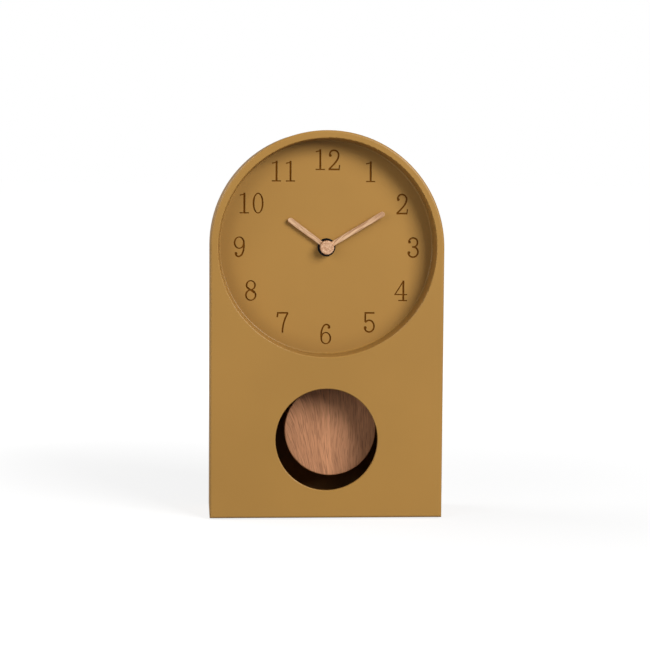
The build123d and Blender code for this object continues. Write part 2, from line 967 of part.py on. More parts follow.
with BuildPart() as seconds_wheel:
    extrude(disc(seconds_front, dial_centre, arbor_radius), amount=-(arbor_rear - seconds_front))
    extrude(
        wheel(third_layer - pinion_overlap, dial_centre, small_pinion_teeth, train_module),
        amount=-(pinion_length + layer_gap),
    )
    extrude(
        wheel(seconds_layer, dial_centre, seconds_teeth, seconds_module, seconds_turn),
        amount=-wheel_thickness,
    )
save(seconds_wheel, "seconds_wheel")

with BuildPart() as third_wheel:
    extrude(disc(arbor_front, third_axis, arbor_radius), amount=-(arbor_rear - arbor_front))
    extrude(
        wheel(centre_layer - pinion_overlap, third_axis, small_pinion_teeth, centre_module),
        amount=-(pinion_length + layer_gap),
    )
    extrude(wheel(third_layer, third_axis, third_teeth, train_module, third_turn), amount=-wheel_thickness)
save(third_wheel, "third_wheel")

with BuildPart() as centre_wheel:
    extrude(
        wheel(centre_layer, dial_centre, centre_teeth, centre_module, centre_turn),
        amount=-wheel_thickness,
    )
    extrude(
        disc(centre_layer - end_play, dial_centre, centre_hub_radius),
        amount=-(wheel_thickness + 2 * end_play),
    )
    extrude(
        disc(centre_layer - end_play, dial_centre, cannon_radius + fit),
        amount=-(wheel_thickness + 2 * end_play),
        mode=Mode.SUBTRACT,
    )
save(centre_wheel, "centre_wheel")

# Motion work, from the minute spindle to the hour wheel and the setting knob

minute_turn = mesh_turn(cannon_teeth, 0, minute_teeth, minute_bearing)
hour_turn = mesh_turn(minute_pinion_teeth, 0, hour_teeth, minute_bearing + 180)
setting_turn = mesh_turn(minute_teeth, minute_turn, setting_teeth, setting_bearing)

with BuildPart() as minute_spindle:
    extrude(disc(spindle_front, dial_centre, spindle_radius), amount=-(minute_layer - spindle_front))
    extrude(
        wheel(minute_layer - pinion_overlap, dial_centre, cannon_teeth, train_module),
        amount=-pinion_length,
    )
    extrude(disc(minute_layer, dial_centre, cannon_radius), amount=-(spindle_rear - minute_layer))
    extrude(
        disc(seconds_front - end_play, dial_centre, arbor_radius + running_fit),
        amount=-tray_depth,
        mode=Mode.SUBTRACT,
    )
save(minute_spindle, "minute_spindle")

with BuildPart() as hour_wheel:
    extrude(wheel(hour_layer, dial_centre, hour_teeth, hour_module, hour_turn), amount=-wheel_thickness)
    extrude(disc(pipe_front, dial_centre, pipe_radius), amount=-(hour_layer - pipe_front))
    extrude(
        disc(pipe_front, dial_centre, spindle_radius + running_fit),
        amount=-(hour_layer + wheel_thickness - pipe_front),
        mode=Mode.SUBTRACT,
    )
save(hour_wheel, "hour_wheel")

with BuildPart() as minute_wheel:
    extrude(
        wheel(minute_layer, minute_axis, minute_teeth, train_module, minute_turn),
        amount=-wheel_thickness,
    )
    extrude(
        wheel(hour_layer - pinion_overlap, minute_axis, minute_pinion_teeth, hour_module),
        amount=-(pinion_length + layer_gap),
    )
    extrude(
        disc(hour_layer - pinion_overlap, minute_axis, stud_radius + running_fit),
        amount=-(layer_pitch + pinion_length),
        mode=Mode.SUBTRACT,
    )
save(minute_wheel, "minute_wheel")

knob_front = back_rear + knob_gap
knob_rear = knob_front + knob_thickness

with BuildPart() as setting_arbor:
    extrude(disc(arbor_front, setting_axis, setting_radius), amount=-(knob_rear - end_play - arbor_front))
    extrude(
        wheel(minute_layer - pinion_overlap, setting_axis, setting_teeth, train_module, setting_turn),
        amount=-pinion_length,
    )
save(setting_arbor, "setting_arbor")

with BuildPart() as setting_knob:
    with BuildSketch(plane_at(knob_front, setting_axis)):
        Circle(knob_radius)
        with PolarLocations(knob_radius, knob_notches):
            Circle(knob_notch_radius, mode=Mode.SUBTRACT)
        Circle(setting_radius + fit, mode=Mode.SUBTRACT)
    extrude(amount=-knob_thickness)
save(setting_knob, "setting_knob")

# Step motor

core_middle = third_layer + stator_thickness + core_thickness / 2

with BuildPart() as stator:
    with BuildSketch(plane_at(third_layer)):
        with BuildLine():
            Polyline(
                (stator_inner, stator_bottom),
                (stator_right, stator_bottom),
                (stator_right, stator_top),
                (stator_right - stator_leg, stator_top),
                (stator_right - stator_leg, stator_shoulder),
                (stator_left + stator_leg, stator_shoulder),
                (stator_left + stator_leg, stator_top),
                (stator_left, stator_top),
                (stator_left, stator_shoulder - stator_leg),
                (stator_inner, stator_shoulder - stator_leg),
                close=True,
            )
        make_face()
        with Locations(rotor_axis):
            Circle(stator_bore, mode=Mode.SUBTRACT)
    extrude(amount=-stator_thickness)
save(stator, "stator")

with BuildPart() as coil_core:
    extrude(
        panel(
            third_layer + stator_thickness,
            stator_left,
            stator_right,
            coil_z - core_width / 2,
            coil_z + core_width / 2,
        ),
        amount=-core_thickness,
    )
save(coil_core, "coil_core")

bobbin_left = stator_left + stator_leg + bobbin_gap
bobbin_right = stator_right - stator_leg - bobbin_gap

with BuildPart() as coil_bobbin:
    with BuildSketch(plane_across(bobbin_left, core_middle, coil_z)):
        Circle(bobbin_hub)
    extrude(amount=bobbin_right - bobbin_left)
    for flange_left in (bobbin_left, bobbin_right - bobbin_flange):
        with BuildSketch(plane_across(flange_left, core_middle, coil_z)):
            Circle(bobbin_radius)
        extrude(amount=bobbin_flange)
    with BuildSketch(plane_across(bobbin_left, core_middle, coil_z)):
        Rectangle(core_thickness + 2 * fit, core_width + 2 * fit)
    extrude(amount=bobbin_right - bobbin_left, mode=Mode.SUBTRACT)
save(coil_bobbin, "coil_bobbin")

with BuildPart() as motor_winding:
    with BuildSketch(plane_across(bobbin_left + bobbin_flange + fit, core_middle, coil_z)):
        Circle(winding_radius)
        Circle(bobbin_hub + fit, mode=Mode.SUBTRACT)
    extrude(amount=bobbin_right - bobbin_left - 2 * (bobbin_flange + fit))
save(motor_winding, "motor_winding")

# Circuit board

board_top = bridge_bottom + board_height
board_middle = (bridge_bottom + board_top) / 2

with BuildPart() as circuit_board:
    extrude(panel(bridge_rear, -bridge_half, bridge_half, bridge_bottom, board_top), amount=-board_thickness)
save(circuit_board, "circuit_board")

with BuildPart() as board_chip:
    extrude(disc(board_rear, (0, board_middle), chip_radius), amount=-chip_height)
    fillet(circles(board_chip, board_rear + chip_height, chip_radius), chip_rounding)
save(board_chip, "board_chip")

with BuildPart() as quartz_crystal:
    with BuildSketch(plane_across(crystal_offset, board_rear + crystal_radius + fit, board_middle)):
        Circle(crystal_radius)
    extrude(amount=crystal_length)
save(quartz_crystal, "quartz_crystal")

# Battery and its contacts

battery_depth = tray_inside + battery_lift + battery_radius
battery_left = -(battery_length + nub_length) / 2
battery_right = battery_left + battery_length

with BuildPart() as battery:
    with BuildSketch(plane_across(battery_left, battery_depth, battery_height)):
        Circle(battery_radius)
    extrude(amount=battery_length)
    fillet(battery.edges().filter_by(GeomType.CIRCLE), battery_rounding)
    with BuildSketch(plane_across(battery_right, battery_depth, battery_height)):
        Circle(nub_radius)
    extrude(amount=nub_length)
save(battery, "battery")


def leaf_contact(side, leaf_x):
    """A strip along one end wall that bends in to the battery. Side is 1 at the right and -1 at the left."""
    strip_x = side * (housing_half - contact_thickness / 2)
    with BuildSketch(plane_at(contact_front)) as leaf:
        with BuildLine():
            Polyline(
                (strip_x, board_top),
                (strip_x, battery_height - contact_drop),
                (leaf_x, battery_height - contact_tip),
                (leaf_x, battery_height + contact_tip),
            )
        trace(line_width=contact_thickness)
    return leaf.sketch


leaf_offset = contact_gap + contact_thickness / 2

with BuildPart() as positive_contact:
    extrude(leaf_contact(1, battery_right + nub_length + leaf_offset), amount=-contact_width)
save(positive_contact, "positive_contact")

with BuildPart() as negative_contact:
    extrude(leaf_contact(-1, battery_left - leaf_offset), amount=-contact_width)
save(negative_contact, "negative_contact")

# Pendulum drive

with BuildPart() as drive_coil:
    extrude(disc(coil_front, coil_centre, coil_radius, coil_bore), amount=-coil_thickness)
save(drive_coil, "drive_coil")

pin_front = back_front - pin_boss_length
clip_front = arm_rear + rod_gap
clip_rear = clip_front + clip_thickness

with BuildPart() as pivot_pin:
    extrude(disc(pin_front, pivot, pin_radius), amount=-(clip_rear + end_play - pin_front))
save(pivot_pin, "pivot_pin")

with BuildPart() as pivot_clip:
    extrude(disc(clip_front, pivot, clip_radius, pin_radius + fit), amount=-clip_thickness)
save(pivot_clip, "pivot_clip")

# Pendulum, hung at its swing in the rest pose


def hung(depth):
    """A plane on the pendulum, its origin on the pivot and its own y axis up the rod."""
    return plane_at(depth, pivot, swing_at_rest)


with BuildPart() as pendulum_arm:
    with BuildSketch(hung(arm_front)):
        Circle(arm_eye_radius)
        with Locations((0, -arm_drop)):
            Circle(arm_paddle_radius)
        make_hull()
        with Locations((0, -arm_tail_drop)):
            Circle(arm_tail_width / 2)
            Rectangle(arm_tail_width, arm_tail_drop - arm_drop, align=(Align.CENTER, Align.MIN))
        Circle(pin_radius + running_fit, mode=Mode.SUBTRACT)
    extrude(amount=-arm_thickness)
    with BuildSketch(hung(arm_front)):
        with Locations((0, -arm_drop)):
            Circle(magnet_radius + fit)
    extrude(amount=-magnet_thickness, mode=Mode.SUBTRACT)
    with BuildSketch(hung(arm_rear)):
        with Locations((0, -arm_tail_drop)):
            Circle(peg_radius)
    extrude(amount=-peg_length)
save(pendulum_arm, "pendulum_arm")

with BuildPart() as pendulum_magnet:
    with BuildSketch(hung(arm_front)):
        with Locations((0, -arm_drop)):
            Circle(magnet_radius)
    extrude(amount=-magnet_thickness)
save(pendulum_magnet, "pendulum_magnet")

rod_length = pendulum_length - arm_tail_drop + rod_overrun

with BuildPart() as pendulum_rod:
    with BuildSketch(hung(rod_front)):
        with Locations((0, -arm_tail_drop)):
            Circle(rod_eye_radius)
            Rectangle(rod_width, rod_length, align=(Align.CENTER, Align.MAX))
            Circle(peg_radius + fit, mode=Mode.SUBTRACT)
    extrude(amount=-rod_thickness)
save(pendulum_rod, "pendulum_rod")

bob_screw_places = [(-bob_screw_spacing / 2, -pendulum_length), (bob_screw_spacing / 2, -pendulum_length)]
clip_plate_rear = rod_rear + fit + bob_clip_wall

with BuildPart() as pendulum_bob:
    with BuildSketch(hung(bob_depth)):
        with Locations((0, -pendulum_length)):
            Circle(bob_radius)
    extrude(amount=-bob_thickness)
    fillet(pendulum_bob.edges().filter_by(GeomType.CIRCLE), bob_rounding)
    with BuildSketch(hung(bob_rear)):
        with Locations(*bob_screw_places):
            Circle(bob_screw_radius + fit)
    extrude(amount=bob_screw_length + end_play - (clip_plate_rear - bob_rear), mode=Mode.SUBTRACT)
save(pendulum_bob, "pendulum_bob")

with BuildPart() as bob_clip:
    with BuildSketch(hung(bob_rear)):
        with Locations((0, -pendulum_length)):
            RectangleRounded(bob_clip_width, bob_clip_height, bob_screw_head)
        with Locations(*bob_screw_places):
            Circle(bob_screw_radius + fit, mode=Mode.SUBTRACT)
    extrude(amount=-(clip_plate_rear - bob_rear))
    with BuildSketch(hung(rod_front - fit)):
        with Locations((0, -pendulum_length)):
            Rectangle(rod_width + 2 * fit, bob_clip_height)
    extrude(amount=-(rod_thickness + 2 * fit), mode=Mode.SUBTRACT)
save(bob_clip, "bob_clip")

with BuildPart() as bob_screws:
    with BuildSketch(hung(clip_plate_rear)):
        with Locations(*bob_screw_places):
            Circle(bob_screw_head)
    extrude(amount=-bob_screw_head_height)
    with BuildSketch(hung(clip_plate_rear)):
        with Locations(*bob_screw_places):
            Circle(bob_screw_radius)
    extrude(amount=bob_screw_length)
save(bob_screws, "bob_screws")
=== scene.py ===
"""Desk pendulum clock: finishes for every solid, a few finer pieces, a plain stage and the camera.

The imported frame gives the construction, and this script dresses it. All lengths are metres.
X runs to the right, Y to the back and Z up, and the origin is on the table under the case.
"""

from __future__ import annotations

import json
import logging
import math
from abc import ABC, abstractmethod
from dataclasses import dataclass, field
from enum import Enum
from functools import reduce
from typing import Any

import bpy
import numpy as np
from mathutils import Matrix, Vector

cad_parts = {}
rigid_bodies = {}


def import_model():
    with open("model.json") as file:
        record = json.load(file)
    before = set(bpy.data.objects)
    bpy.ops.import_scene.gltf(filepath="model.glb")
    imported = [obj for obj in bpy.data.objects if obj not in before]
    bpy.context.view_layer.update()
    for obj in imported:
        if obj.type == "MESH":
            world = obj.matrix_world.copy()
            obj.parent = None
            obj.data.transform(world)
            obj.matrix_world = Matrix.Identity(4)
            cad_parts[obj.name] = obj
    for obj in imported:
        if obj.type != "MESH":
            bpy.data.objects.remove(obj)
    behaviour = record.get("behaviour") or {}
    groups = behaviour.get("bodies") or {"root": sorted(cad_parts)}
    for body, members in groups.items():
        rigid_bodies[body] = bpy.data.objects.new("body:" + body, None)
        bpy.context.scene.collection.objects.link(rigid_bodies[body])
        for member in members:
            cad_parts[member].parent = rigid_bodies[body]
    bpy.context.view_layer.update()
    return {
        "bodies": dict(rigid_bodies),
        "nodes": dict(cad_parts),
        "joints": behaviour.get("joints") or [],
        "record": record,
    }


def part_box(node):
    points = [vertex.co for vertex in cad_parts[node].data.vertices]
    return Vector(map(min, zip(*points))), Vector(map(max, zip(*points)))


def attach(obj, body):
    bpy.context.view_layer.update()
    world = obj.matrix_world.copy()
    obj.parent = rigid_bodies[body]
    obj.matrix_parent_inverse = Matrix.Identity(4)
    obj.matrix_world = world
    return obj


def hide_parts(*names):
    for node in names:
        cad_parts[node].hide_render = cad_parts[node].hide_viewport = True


LOG = logging.getLogger("clock")
MM = 0.001
IMAGE_PIXELS = 650

Pair = tuple[float, float]
Triple = tuple[float, float, float]
Colour = Triple
Socket = bpy.types.NodeSocket
# What an input is fed: another node's socket, or a plain value.
Fed = Any

ORIGIN: Triple = (0.0, 0.0, 0.0)
BLACK: Colour = (0.0, 0.0, 0.0)
WHITE: Colour = (1.0, 1.0, 1.0)


class Axis(Enum):
    """The frame's axes, by their place in a point."""

    X = 0
    Y = 1
    Z = 2


def rgba(colour: Colour) -> tuple[float, float, float, float]:
    """An opaque colour for a colour socket."""
    return (*colour, 1.0)


def toned(colour: Colour, tone: float) -> Colour:
    """A colour made darker by a tone under one, or lighter by one over it."""
    return tuple(tone * part for part in colour)


class Wiring:
    """Adds nodes to one node tree and joins their sockets."""

    def __init__(self, tree: bpy.types.NodeTree) -> None:
        """Takes the tree to wire."""
        self.tree = tree

    def feed(self, socket: Socket, value: Fed) -> None:
        """Links a socket to another, or sets its own value.

        Args:
            socket: the input socket.
            value: the socket or the plain value that it takes.
        """
        if isinstance(value, bpy.types.NodeSocket):
            self.tree.links.new(value, socket)
        else:
            socket.default_value = value

    def feed_all(self, node: bpy.types.Node, inputs: dict[Any, Fed]) -> None:
        """Feeds several inputs of a node, by name or number."""
        for key, value in inputs.items():
            self.feed(node.inputs[key], value)

    def add(
        self, kind: str, inputs: dict[Any, Fed] | None = None, **settings: Any
    ) -> bpy.types.Node:
        """Adds a node.

        Args:
            kind: Blender's name of the node type.
            inputs: what each input socket is fed, by name or number.
            **settings: the node's own properties.

        Returns:
            The new node.
        """
        node = self.tree.nodes.new(kind)
        for name, value in settings.items():
            setattr(node, name, value)
        self.feed_all(node, inputs or {})
        return node

    def math(self, operation: str, first: Fed, second: Fed = 0.0) -> Socket:
        """One arithmetic step on two values."""
        return self.add("ShaderNodeMath", {0: first, 1: second}, operation=operation).outputs[0]

    def vector(self, operation: str, first: Fed, second: Fed) -> Socket:
        """One arithmetic step on two vectors."""
        inputs = {0: first, 1: second}
        return self.add("ShaderNodeVectorMath", inputs, operation=operation).outputs[0]

    def product(self, *factors: Fed) -> Socket:
        """Values multiplied one after the other."""
        return reduce(lambda first, second: self.math("MULTIPLY", first, second), factors)

    def over(self, value: Fed, limit: float) -> Socket:
        """One where a value is over a limit, and zero elsewhere."""
        return self.math("GREATER_THAN", value, limit)

    def under(self, value: Fed, limit: float) -> Socket:
        """One where a value is under a limit, and zero elsewhere."""
        return self.math("LESS_THAN", value, limit)

    def ramp(
        self, value: Fed, low: float, high: float, bottom: float = 0.0, top: float = 1.0
    ) -> Socket:
        """A smooth step of a value, from bottom at low to top at high.

        Args:
            value: the value to map.
            low: where the step starts.
            high: where the step ends.
            bottom: the result at and before the start.
            top: the result at and past the end.

        Returns:
            The mapped value.
        """
        inputs = {
            "Value": value,
            "From Min": low,
            "From Max": high,
            "To Min": bottom,
            "To Max": top,
        }
        node = self.add("ShaderNodeMapRange", inputs, interpolation_type="SMOOTHSTEP")
        return node.outputs["Result"]

    def spread(self, share: Fed, ends: Pair) -> Socket:
        """A share from zero to one, eased from one end of a range to the other."""
        return self.ramp(share, 0.0, 1.0, *ends)

    def mix(self, share: Fed, first: Fed, second: Fed, blend: str = "MIX") -> Socket:
        """Two colours mixed by a share.

        Args:
            share: how much of the second colour shows.
            first: the colour at share 0.
            second: the colour at share 1.
            blend: how the second lies over the first.

        Returns:
            The mixed colour.
        """
        node = self.add("ShaderNodeMix", data_type="RGBA", blend_type=blend)
        self.feed(node.inputs["Factor"], share)
        for name, fed in (("A", first), ("B", second)):
            colour_socket = [s for s in node.inputs if s.name == name and s.type == "RGBA"][0]
            self.feed(colour_socket, rgba(fed) if isinstance(fed, tuple) else fed)
        return [s for s in node.outputs if s.type == "RGBA"][0]

    def noise(self, vector: Fed, scale: Fed, detail: float = 2.0, roughness: float = 0.5) -> Socket:
        """Cloudy noise round one half, with a number of features to the metre."""
        inputs = {"Vector": vector, "Scale": scale, "Detail": detail, "Roughness": roughness}
        return self.add("ShaderNodeTexNoise", inputs).outputs["Fac"]

    def drawn(self, vector: Fed, share: float) -> Socket:
        """A vector with its third part times a share, which draws a pattern out along it."""
        return self.vector("MULTIPLY", vector, (1.0, 1.0, share))

    def parts(self, vector: Fed) -> tuple[Socket, Socket, Socket]:
        """A vector's three parts."""
        node = self.add("ShaderNodeSeparateXYZ", {"Vector": vector})
        return node.outputs["X"], node.outputs["Y"], node.outputs["Z"]

    def length(self, across: Fed, up: Fed) -> Socket:
        """The distance from the origin of a point in a plane."""
        squares = self.math("ADD", self.product(across, across), self.product(up, up))
        return self.math("SQRT", squares)


class Effect(Enum):
    """Shader node groups that several finishes share."""

    SKIN = "moulded_skin"
    GRAIN = "wood_grain"
    LINES = "drawn_lines"


@dataclass
class EffectShelf:
    """Builds each shared node group the first time that a finish asks for it.

    A noise keeps near one half, so each mask spreads a span of it from zero to one. A draw is how
    fast a pattern changes along the grain or the lines, as a share of how fast it does across.

    Attributes:
        patch_span: the span that makes the broad patches.
        speck_span: the span that makes the fine specks.
        band_span: the span that makes the wood's bands.
        fibre_span: the span that makes its fibres.
        pore_span: the span that makes its pores.
        line_span: the span that makes drawn lines.
        band_draw: the draw of the wood's bands.
        grain_draw: the draw of its fibres and pores.
        sway_draw: the draw of the grain's slow sway.
        line_draw: the draw of drawn lines.
        sway_scale: sways of the grain to the metre.
        fibre_relief: height of the fibres, where a pore is one deep.
        groups: the groups that are built so far.
    """

    patch_span: Pair = (0.3, 0.7)
    speck_span: Pair = (0.35, 0.65)
    band_span: Pair = (0.32, 0.68)
    fibre_span: Pair = (0.3, 0.7)
    pore_span: Pair = (0.5, 0.66)
    line_span: Pair = (0.35, 0.65)
    band_draw: float = 0.07
    grain_draw: float = 0.06
    sway_draw: float = 0.6
    line_draw: float = 0.02
    sway_scale: float = 22.0
    fibre_relief: float = 0.5
    groups: dict[Effect, bpy.types.NodeTree] = field(default_factory=dict)

    def group(self, effect: Effect) -> bpy.types.NodeTree:
        """The node group of an effect.

        Args:
            effect: which group it is.

        Returns:
            The group, built once.
        """
        builders = {
            Effect.SKIN: self.moulded_skin,
            Effect.GRAIN: self.wood_grain,
            Effect.LINES: self.drawn_lines,
        }
        if effect not in self.groups:
            self.groups[effect] = builders[effect]()
        return self.groups[effect]

    @staticmethod
    def empty(
        effect: Effect, values: dict[str, float], outputs: tuple[str, ...]
    ) -> tuple[Wiring, Any, Any]:
        """Starts a group with a vector input, named values and named outputs.

        Args:
            effect: which group it is.
            values: the default of each value input, by name.
            outputs: the names of the value outputs.

        Returns:
            The wiring, the sockets that the group is given and those that it puts out.
        """
        tree = bpy.data.node_groups.new(effect.value, "ShaderNodeTree")
        tree.interface.new_socket(name="Vector", in_out="INPUT", socket_type="NodeSocketVector")
        for name, default in values.items():
            socket = tree.interface.new_socket(
                name=name, in_out="INPUT", socket_type="NodeSocketFloat"
            )
            socket.default_value = default
        for name in outputs:
            tree.interface.new_socket(name=name, in_out="OUTPUT", socket_type="NodeSocketFloat")
        wiring = Wiring(tree)
        return wiring, wiring.add("NodeGroupInput").outputs, wiring.add("NodeGroupOutput").inputs

    def moulded_skin(self) -> bpy.types.NodeTree:
        """Broad patches, fine specks and a fine relief, for paint and plastic.

        Returns:
            The new group.
        """
        wiring, given, out = self.empty(
            Effect.SKIN, {"Patch Scale": 14.0, "Speck Scale": 2400.0}, ("Patch", "Speck", "Height")
        )
        patch = wiring.noise(given["Vector"], given["Patch Scale"], detail=3.0)
        speck = wiring.noise(given["Vector"], given["Speck Scale"], roughness=0.6)
        wiring.feed(out["Patch"], wiring.ramp(patch, *self.patch_span))
        wiring.feed(out["Speck"], wiring.ramp(speck, *self.speck_span))
        wiring.feed(out["Height"], speck)
        return wiring.tree

    def wood_grain(self) -> bpy.types.NodeTree:
        """Grain that runs along the vector's third part.

        The place across the grain sways slowly along it, and left of the centre it also leans by
        fan * distance from the centre * place along. Bands, fibres and pores are noise drawn out
        along the grain, and the relief sinks at the pores.

        Returns:
            The new group.
        """
        scales = {"Band Scale": 110.0, "Fibre Scale": 1300.0, "Pore Scale": 900.0}
        wiring, given, out = self.empty(
            Effect.GRAIN, {**scales, "Sway": 0.016, "Fan": 0.0}, ("Band", "Fibre", "Pore", "Height")
        )
        across, _, along = wiring.parts(given["Vector"])
        slow_place = wiring.drawn(given["Vector"], self.sway_draw)
        slow = wiring.noise(slow_place, self.sway_scale, detail=1.0)
        sway = wiring.product(wiring.math("SUBTRACT", slow, 0.5), given["Sway"])
        left = wiring.math("MAXIMUM", wiring.product(across, -1.0), 0.0)
        lean = wiring.product(left, along, given["Fan"])
        shift = wiring.add("ShaderNodeCombineXYZ", {"X": wiring.math("ADD", sway, lean)})
        place = wiring.vector("ADD", given["Vector"], shift.outputs[0])
        fine = wiring.drawn(place, self.grain_draw)
        band = wiring.noise(wiring.drawn(place, self.band_draw), given["Band Scale"], detail=3.0)
        fibre = wiring.noise(fine, given["Fibre Scale"], roughness=0.6)
        pore = wiring.ramp(wiring.noise(fine, given["Pore Scale"], detail=1.0), *self.pore_span)
        wiring.feed(out["Band"], wiring.ramp(band, *self.band_span))
        wiring.feed(out["Fibre"], wiring.ramp(fibre, *self.fibre_span))
        wiring.feed(out["Pore"], pore)
        height = wiring.math("SUBTRACT", wiring.product(fibre, self.fibre_relief), pore)
        wiring.feed(out["Height"], height)
        return wiring.tree

    def drawn_lines(self) -> bpy.types.NodeTree:
        """Fine lines along the vector's third part, for drawn and brushed metal.

        Returns:
            The new group.
        """
        wiring, given, out = self.empty(Effect.LINES, {"Line Scale": 5000.0}, ("Streak", "Height"))
        lines = wiring.noise(wiring.drawn(given["Vector"], self.line_draw), given["Line Scale"])
        wiring.feed(out["Streak"], wiring.ramp(lines, *self.line_span))
        wiring.feed(out["Height"], lines)
        return wiring.tree


SHELF = EffectShelf()


@dataclass(frozen=True)
class Finish(ABC):
    """A procedural material, named for the surface that it gives.

    Attributes:
        name: the material's name.
    """

    name: str

    def build(self) -> bpy.types.Material:
        """Makes the material with its Principled shader and lets the finish wire it.

        Returns:
            The new material.
        """
        material = bpy.data.materials.new(self.name)
        material.use_nodes = True
        self.wire(Wiring(material.node_tree), material.node_tree.nodes["Principled BSDF"])
        return material

    @abstractmethod
    def wire(self, wiring: Wiring, shader: bpy.types.Node) -> None:
        """Wires the shader's inputs."""

    @staticmethod
    def place(wiring: Wiring, turn: Triple = ORIGIN, centre: Triple = ORIGIN) -> Socket:
        """Object coordinates from a centre, turned so that a pattern follows the piece.

        Args:
            wiring: wires the material's nodes.
            turn: turn about each axis, in radians.
            centre: the point that becomes the origin.

        Returns:
            The place as a vector.
        """
        point = wiring.add("ShaderNodeTexCoord").outputs["Object"]
        if any(centre):
            point = wiring.vector("SUBTRACT", point, centre)
        if any(turn):
            return wiring.add("ShaderNodeMapping", {"Vector": point, "Rotation": turn}).outputs[0]
        return point

    @staticmethod
    def group(wiring: Wiring, effect: Effect, vector: Socket, **values: float) -> Any:
        """Places a shared effect.

        Args:
            wiring: wires the material's nodes.
            effect: the effect to place.
            vector: the place that it follows.
            **values: its other inputs, in small letters with an underscore for a space.

        Returns:
            The effect's outputs, by name.
        """
        inputs = {name.replace("_", " ").title(): value for name, value in values.items()}
        inputs["Vector"] = vector
        return wiring.add("ShaderNodeGroup", inputs, node_tree=SHELF.group(effect)).outputs

    @staticmethod
    def relief(
        wiring: Wiring, shader: bpy.types.Node, height: Socket, distance: float, strength: float
    ) -> None:
        """Feeds the shader's normal from a relief.

        Args:
            wiring: wires the material's nodes.
            shader: the material's Principled shader.
            height: the relief's height, as a share of the distance.
            distance: how far a height of one stands up.
            strength: how much of the relief shows.
        """
        inputs = {"Height": height, "Distance": distance, "Strength": strength}
        bump = wiring.add("ShaderNodeBump", inputs)
        wiring.feed(shader.inputs["Normal"], bump.outputs["Normal"])


@dataclass(frozen=True)
class ShellPaint(Finish):
    """Satin paint on the case, with stained numerals and a bare inside.

    Attributes:
        paint: the paint's own colour.
        groove_shade_colour: painted shade in the engraved numerals, a dark brown for the shadow in
            their grooves.
        bare: the moulding's colour inside the case.
        dial_height: height of the dial's centre.
        cup_radius: radius up to which the sunk dial is painted.
        painted_corner_shade: how far painted shade darkens the corner round the sunk dial, standing
            in for the shadow there.
        painted_shade_start: how far back that painted shade starts on the wall round the dial.
        groove_start: how far back the numerals' floors start.
        groove_end: how far back the sunk dial's paint ends.
        inside_start: how far back the inside of the front wall starts.
        inside_radius: half width of the inside, and its radius in the arch.
        inside_floor: height of the floor inside the case.
        painted_shade_reach: where the corner's painted shade starts and is full, as shares of the
            cup's radius.
        groove_shade_edge: depth over which the painted shade in the grooves sets in.
        tones: the paint's darkest and lightest clouds.
        speck_share: how much the specks lighten the paint.
        roughness: the paint's least and greatest roughness.
        bare_roughness: how much rougher the bare inside is.
        specular: how strong the paint reflects under its coat.
        coat: weight of the satin coat.
        coat_roughness: the coat's roughness.
        peel: depth and strength of the orange peel.
    """

    paint: Colour
    groove_shade_colour: Colour
    bare: Colour
    dial_height: float
    cup_radius: float
    painted_corner_shade: float
    painted_shade_start: float
    groove_start: float
    groove_end: float
    inside_start: float
    inside_radius: float
    inside_floor: float
    painted_shade_reach: Pair = (0.78, 0.96)
    groove_shade_edge: float = 0.15 * MM
    tones: Pair = (0.965, 1.03)
    speck_share: float = 0.05
    roughness: Pair = (0.50, 0.56)
    bare_roughness: float = 0.2
    specular: float = 0.05
    coat: float = 0.5
    coat_roughness: float = 0.32
    peel: Pair = (0.03 * MM, 0.25)

    def wire(self, wiring: Wiring, shader: bpy.types.Node) -> None:
        """Paint with clouds and a fine orange peel, then painted shade in the dial's corner and in
        the numerals, and the bare inside, by place.

        Args:
            wiring: wires the material's nodes.
            shader: the material's Principled shader.
        """
        point = self.place(wiring)
        across, back, up = wiring.parts(point)
        above = wiring.math("SUBTRACT", up, self.dial_height)
        dial_reach = wiring.length(across, above)
        arch_reach = wiring.length(across, wiring.math("MAXIMUM", above, 0.0))

        in_cup = wiring.under(dial_reach, self.cup_radius)
        dial = wiring.product(in_cup, wiring.under(back, self.groove_end))
        # The numerals' grooves take a dark brown: painted shade for the shadow in them.
        groove_floor = self.groove_start + self.groove_shade_edge
        groove = wiring.product(dial, wiring.ramp(back, self.groove_start, groove_floor))
        inside = wiring.product(
            wiring.under(arch_reach, self.inside_radius),
            wiring.over(back, self.inside_start),
            wiring.over(up, self.inside_floor),
            wiring.math("SUBTRACT", 1.0, dial),
        )
        # Painted shade: near the wall of the sunk dial the paint darkens towards black, for the
        # shadow in that corner.
        corner_start, corner_end = (share * self.cup_radius for share in self.painted_shade_reach)
        corner = wiring.product(
            wiring.ramp(dial_reach, corner_start, corner_end, top=self.painted_corner_shade),
            wiring.ramp(back, self.painted_shade_start, self.groove_start),
            dial,
        )

        skin = self.group(wiring, Effect.SKIN, point, patch_scale=11.0, speck_scale=2600.0)
        darker, lighter = (toned(self.paint, tone) for tone in self.tones)
        colour = wiring.mix(skin["Patch"], darker, lighter)
        colour = wiring.mix(wiring.product(skin["Speck"], self.speck_share), colour, lighter)
        # Over the paint go the painted shade in the corner, the painted shade in the grooves, then
        # the bare inside.
        for share, cover in ((corner, BLACK), (groove, self.groove_shade_colour), (inside, self.bare)):
            colour = wiring.mix(share, colour, cover)
        rough = wiring.spread(skin["Speck"], self.roughness)
        rough = wiring.math("ADD", rough, wiring.product(inside, self.bare_roughness))
        uncoated = wiring.math("MAXIMUM", groove, inside)
        wiring.feed_all(
            shader,
            {
                "Base Color": colour,
                "Roughness": rough,
                "Specular IOR Level": self.specular,
                "Coat Weight": wiring.spread(uncoated, (self.coat, 0.0)),
                "Coat Roughness": self.coat_roughness,
            },
        )
        self.relief(wiring, shader, skin["Height"], *self.peel)


